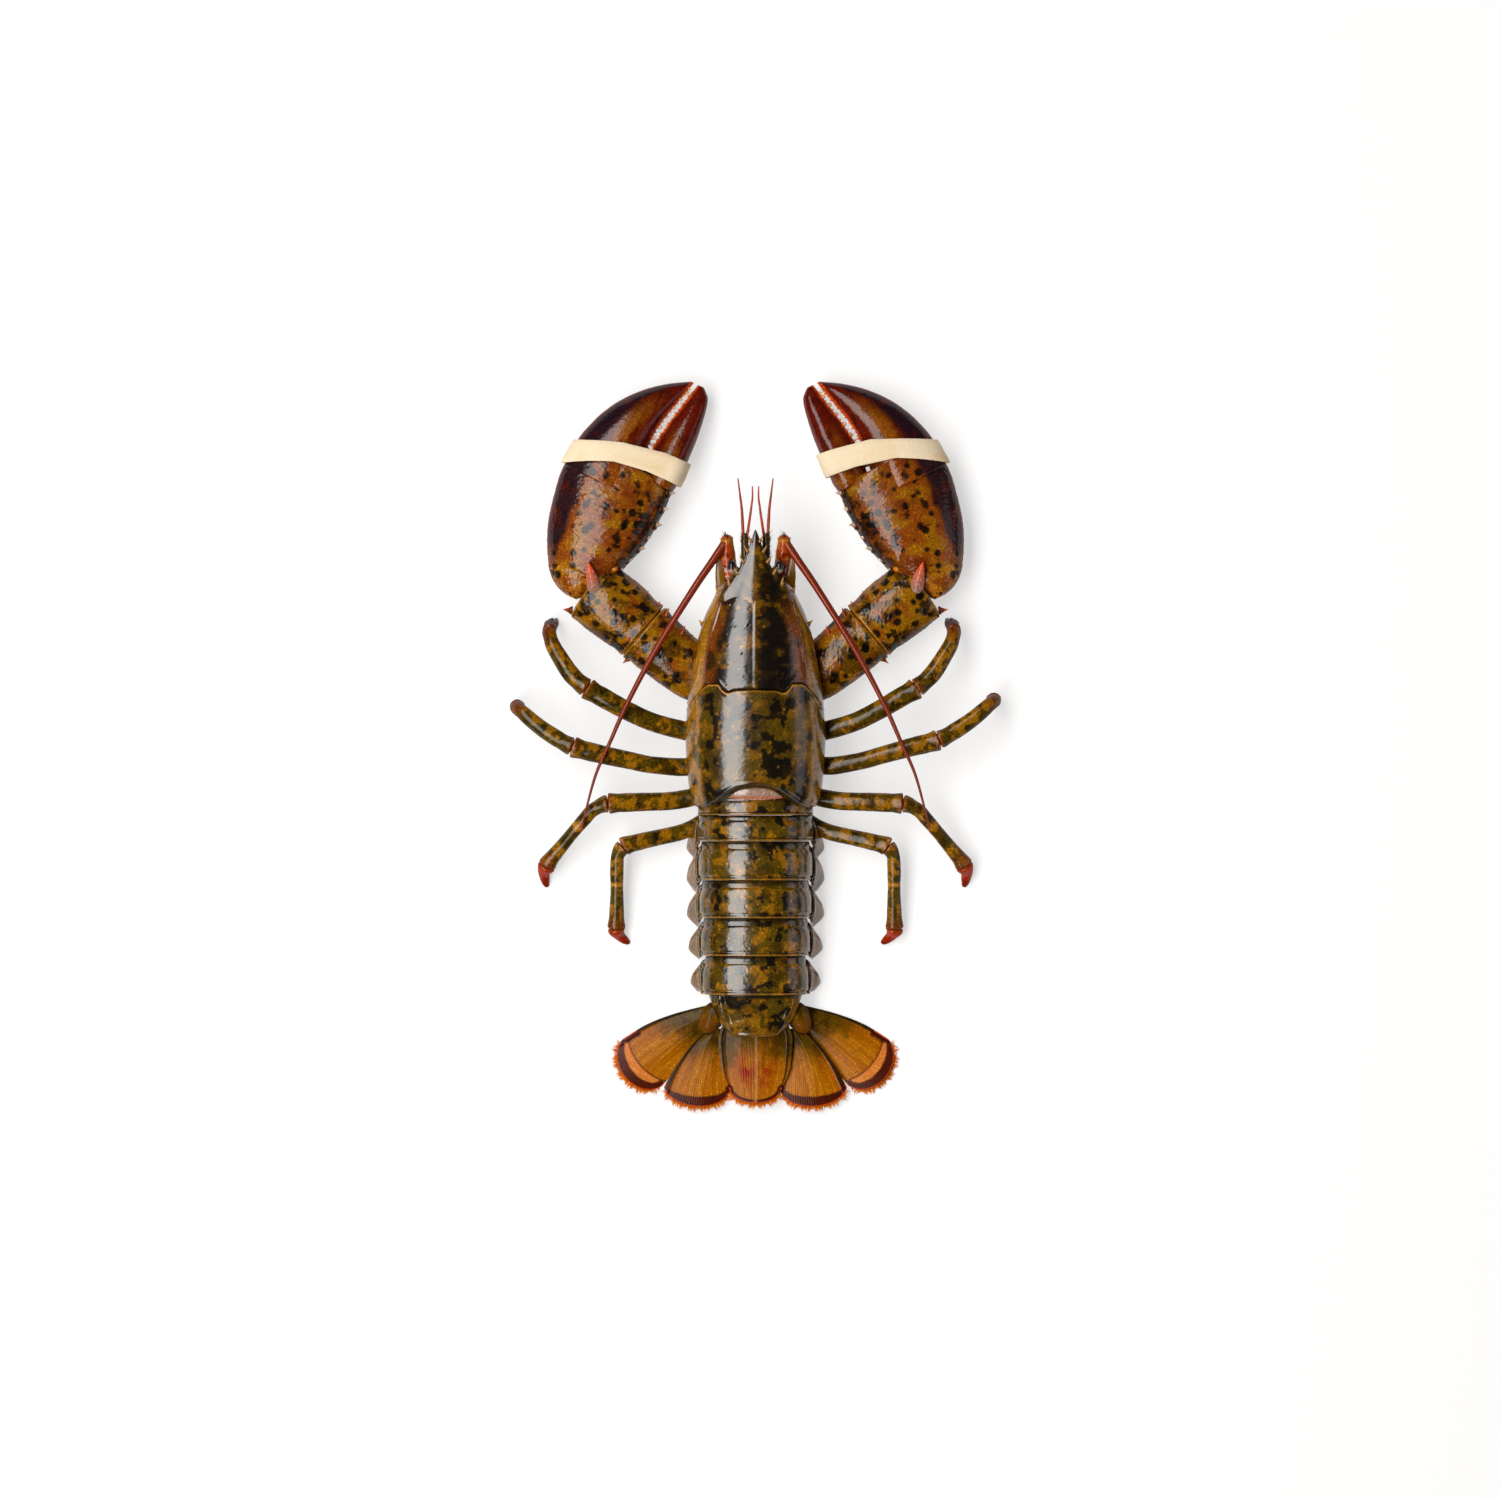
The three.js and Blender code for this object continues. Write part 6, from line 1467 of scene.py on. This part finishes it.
def build_mouth():
    c = tints()
    for name, side in SIDES:
        grid, _, _ = limb_grid(turned(JAW_LEG, side), 0, 5, 40, .4, (0, .8), .06)
        mirror = grid * (-side, 1, 1)
        colour = mix(mix(c["ochre"], c["rust"], .5), c["mahogany"], .6 * blotches(mirror, 3, .5, 161, .15))
        build(f"jaw_leg_shell_{name}", f"jaw_leg_{name}", "leg_shell", leg_finish(),
              closed_rings(grid, colour))


# Stage

# Each lamp's name, place and size in metres, watts and colour. The photo covers 0.66 m at 0.44 mm for
# each pixel, and the camera hangs over the photo's middle, 3 m above the animal's widest parts.
LAMPS = (("Left softbox", (-.96, .05, 2.06), (4.8, 1.15), 92, (1, .98, .95)),
         ("Right fill", (1.55, -.1, .8), (1.8, .8), 3, (.9, .86, 1)))
CAMERA_AWAY, PHOTO_WIDTH = 3.0, .66
CAMERA_SEAT = (-.00242, -.00198, 3.02)
FLOOR_GREY, FLOOR_GLOW, WORLD_GLOW = .42, .58, .02


def build_stage():
    scene = bpy.context.scene
    mesh = bpy.data.meshes.new("floor")
    mesh.from_pydata([(-4, -4, 0), (4, -4, 0), (4, 4, 0), (-4, 4, 0)], [], [(0, 1, 2, 3)])
    floor = bpy.data.objects.new("floor", mesh)
    scene.collection.objects.link(floor)
    material = bpy.data.materials.new("Pale floor")
    material.use_nodes = True
    shader = material.node_tree.nodes["Principled BSDF"]
    shader.inputs["Base Color"].default_value = (FLOOR_GREY, FLOOR_GREY, FLOOR_GREY, 1)
    shader.inputs["Emission Color"].default_value = (1, 1, 1, 1)
    shader.inputs["Emission Strength"].default_value = FLOOR_GLOW
    shader.inputs["Roughness"].default_value = .8
    shader.inputs["Specular IOR Level"].default_value = .1
    mesh.materials.append(material)
    world = bpy.data.worlds.new("Studio")
    world.use_nodes = True
    back = world.node_tree.nodes["Background"]
    back.inputs["Color"].default_value = (1, 1, 1, 1)
    back.inputs["Strength"].default_value = WORLD_GLOW
    scene.world = world
    for name, place, size, power, colour in LAMPS:
        light = bpy.data.lights.new(name, "AREA")
        light.shape, light.size, light.size_y, light.energy = "ELLIPSE", *size, power
        light.color = colour
        lamp = bpy.data.objects.new(name, light)
        scene.collection.objects.link(lamp)
        lamp.location = place
        lamp.rotation_euler = (-lamp.location).to_track_quat("-Z", "Y").to_euler()
        lamp.visible_camera = False
    scene.view_settings.view_transform = "Standard"
    camera = bpy.data.cameras.new("Camera")
    camera.sensor_width, camera.lens = 36, 36 * CAMERA_AWAY / PHOTO_WIDTH
    camera.clip_end = 50
    seat = bpy.data.objects.new("Camera", camera)
    seat.location = CAMERA_SEAT
    scene.collection.objects.link(seat)
    scene.camera = seat


# Operators

class BuildHead(bpy.types.Operator):
    """Builds the head shell with its rostrum, spines and jaws"""
    bl_idname, bl_label = "lobster.head", "Head"

    def execute(self, context):
        build_head()
        return {"FINISHED"}


class BuildThorax(bpy.types.Operator):
    """Builds the shell over the thorax"""
    bl_idname, bl_label = "lobster.thorax", "Thorax"

    def execute(self, context):
        build_thorax()
        return {"FINISHED"}


class BuildTail(bpy.types.Operator):
    """Builds the tail rings with their side lobes and swimmerets"""
    bl_idname, bl_label = "lobster.tail", "Tail rings"

    def execute(self, context):
        build_tail()
        return {"FINISHED"}


class BuildFan(bpy.types.Operator):
    """Builds the tail fan's blades and their fringes"""
    bl_idname, bl_label = "lobster.fan", "Tail fan"

    def execute(self, context):
        build_fan()
        return {"FINISHED"}


class BuildClaws(bpy.types.Operator):
    """Builds the claws with their spines and teeth"""
    bl_idname, bl_label = "lobster.claws", "Claws"

    def execute(self, context):
        build_claws()
        return {"FINISHED"}


class BuildBands(bpy.types.Operator):
    """Builds the elastic bands round the claws"""
    bl_idname, bl_label = "lobster.bands", "Elastic bands"

    def execute(self, context):
        build_bands()
        return {"FINISHED"}


class BuildArms(bpy.types.Operator):
    """Builds the arms and wrists that carry the claws"""
    bl_idname, bl_label = "lobster.arms", "Arms"

    def execute(self, context):
        build_arms()
        return {"FINISHED"}


class BuildLegs(bpy.types.Operator):
    """Builds the walking legs"""
    bl_idname, bl_label = "lobster.legs", "Legs"

    def execute(self, context):
        build_legs()
        return {"FINISHED"}


class BuildFeelers(bpy.types.Operator):
    """Builds the long and small feelers"""
    bl_idname, bl_label = "lobster.feelers", "Feelers"

    def execute(self, context):
        build_feelers()
        return {"FINISHED"}


class BuildEyes(bpy.types.Operator):
    """Builds the stalked eyes"""
    bl_idname, bl_label = "lobster.eyes", "Eyes"

    def execute(self, context):
        build_eyes()
        return {"FINISHED"}


class BuildMouth(bpy.types.Operator):
    """Builds the jaw legs under the head"""
    bl_idname, bl_label = "lobster.mouth", "Jaw legs"

    def execute(self, context):
        build_mouth()
        return {"FINISHED"}


class BuildStage(bpy.types.Operator):
    """Sets the pale floor, the studio light and the camera"""
    bl_idname, bl_label = "lobster.stage", "Stage"

    def execute(self, context):
        build_stage()
        return {"FINISHED"}


OPERATORS = (BuildHead, BuildThorax, BuildTail, BuildFan, BuildClaws, BuildBands, BuildArms, BuildLegs,
             BuildFeelers, BuildEyes, BuildMouth, BuildStage)


class LobsterPanel(bpy.types.Panel):
    """Lists the lobster's colours, sizes and building steps"""
    bl_idname, bl_label = "VIEW3D_PT_lobster", "Lobster"
    bl_space_type, bl_region_type, bl_category = "VIEW_3D", "UI", "Lobster"

    def draw(self, context):
        for operator in OPERATORS:
            self.layout.operator(operator.bl_idname)
        for group in (context.scene.lobster_colours, context.scene.lobster_sizes):
            box = self.layout.box()
            for name in type(group).__annotations__:
                box.prop(group, name)


CLASSES = (LobsterColours, LobsterSizes, *OPERATORS, LobsterPanel)


def register():
    for cls in CLASSES:
        bpy.utils.register_class(cls)
    bpy.types.Scene.lobster_colours = PointerProperty(type=LobsterColours)
    bpy.types.Scene.lobster_sizes = PointerProperty(type=LobsterSizes)


def unregister():
    del bpy.types.Scene.lobster_colours
    del bpy.types.Scene.lobster_sizes
    for cls in reversed(CLASSES):
        bpy.utils.unregister_class(cls)


def main():
    register()
    for operator in OPERATORS:
        getattr(bpy.ops.lobster, operator.bl_idname.split(".")[1])()


if __name__ == "__main__":
    main()
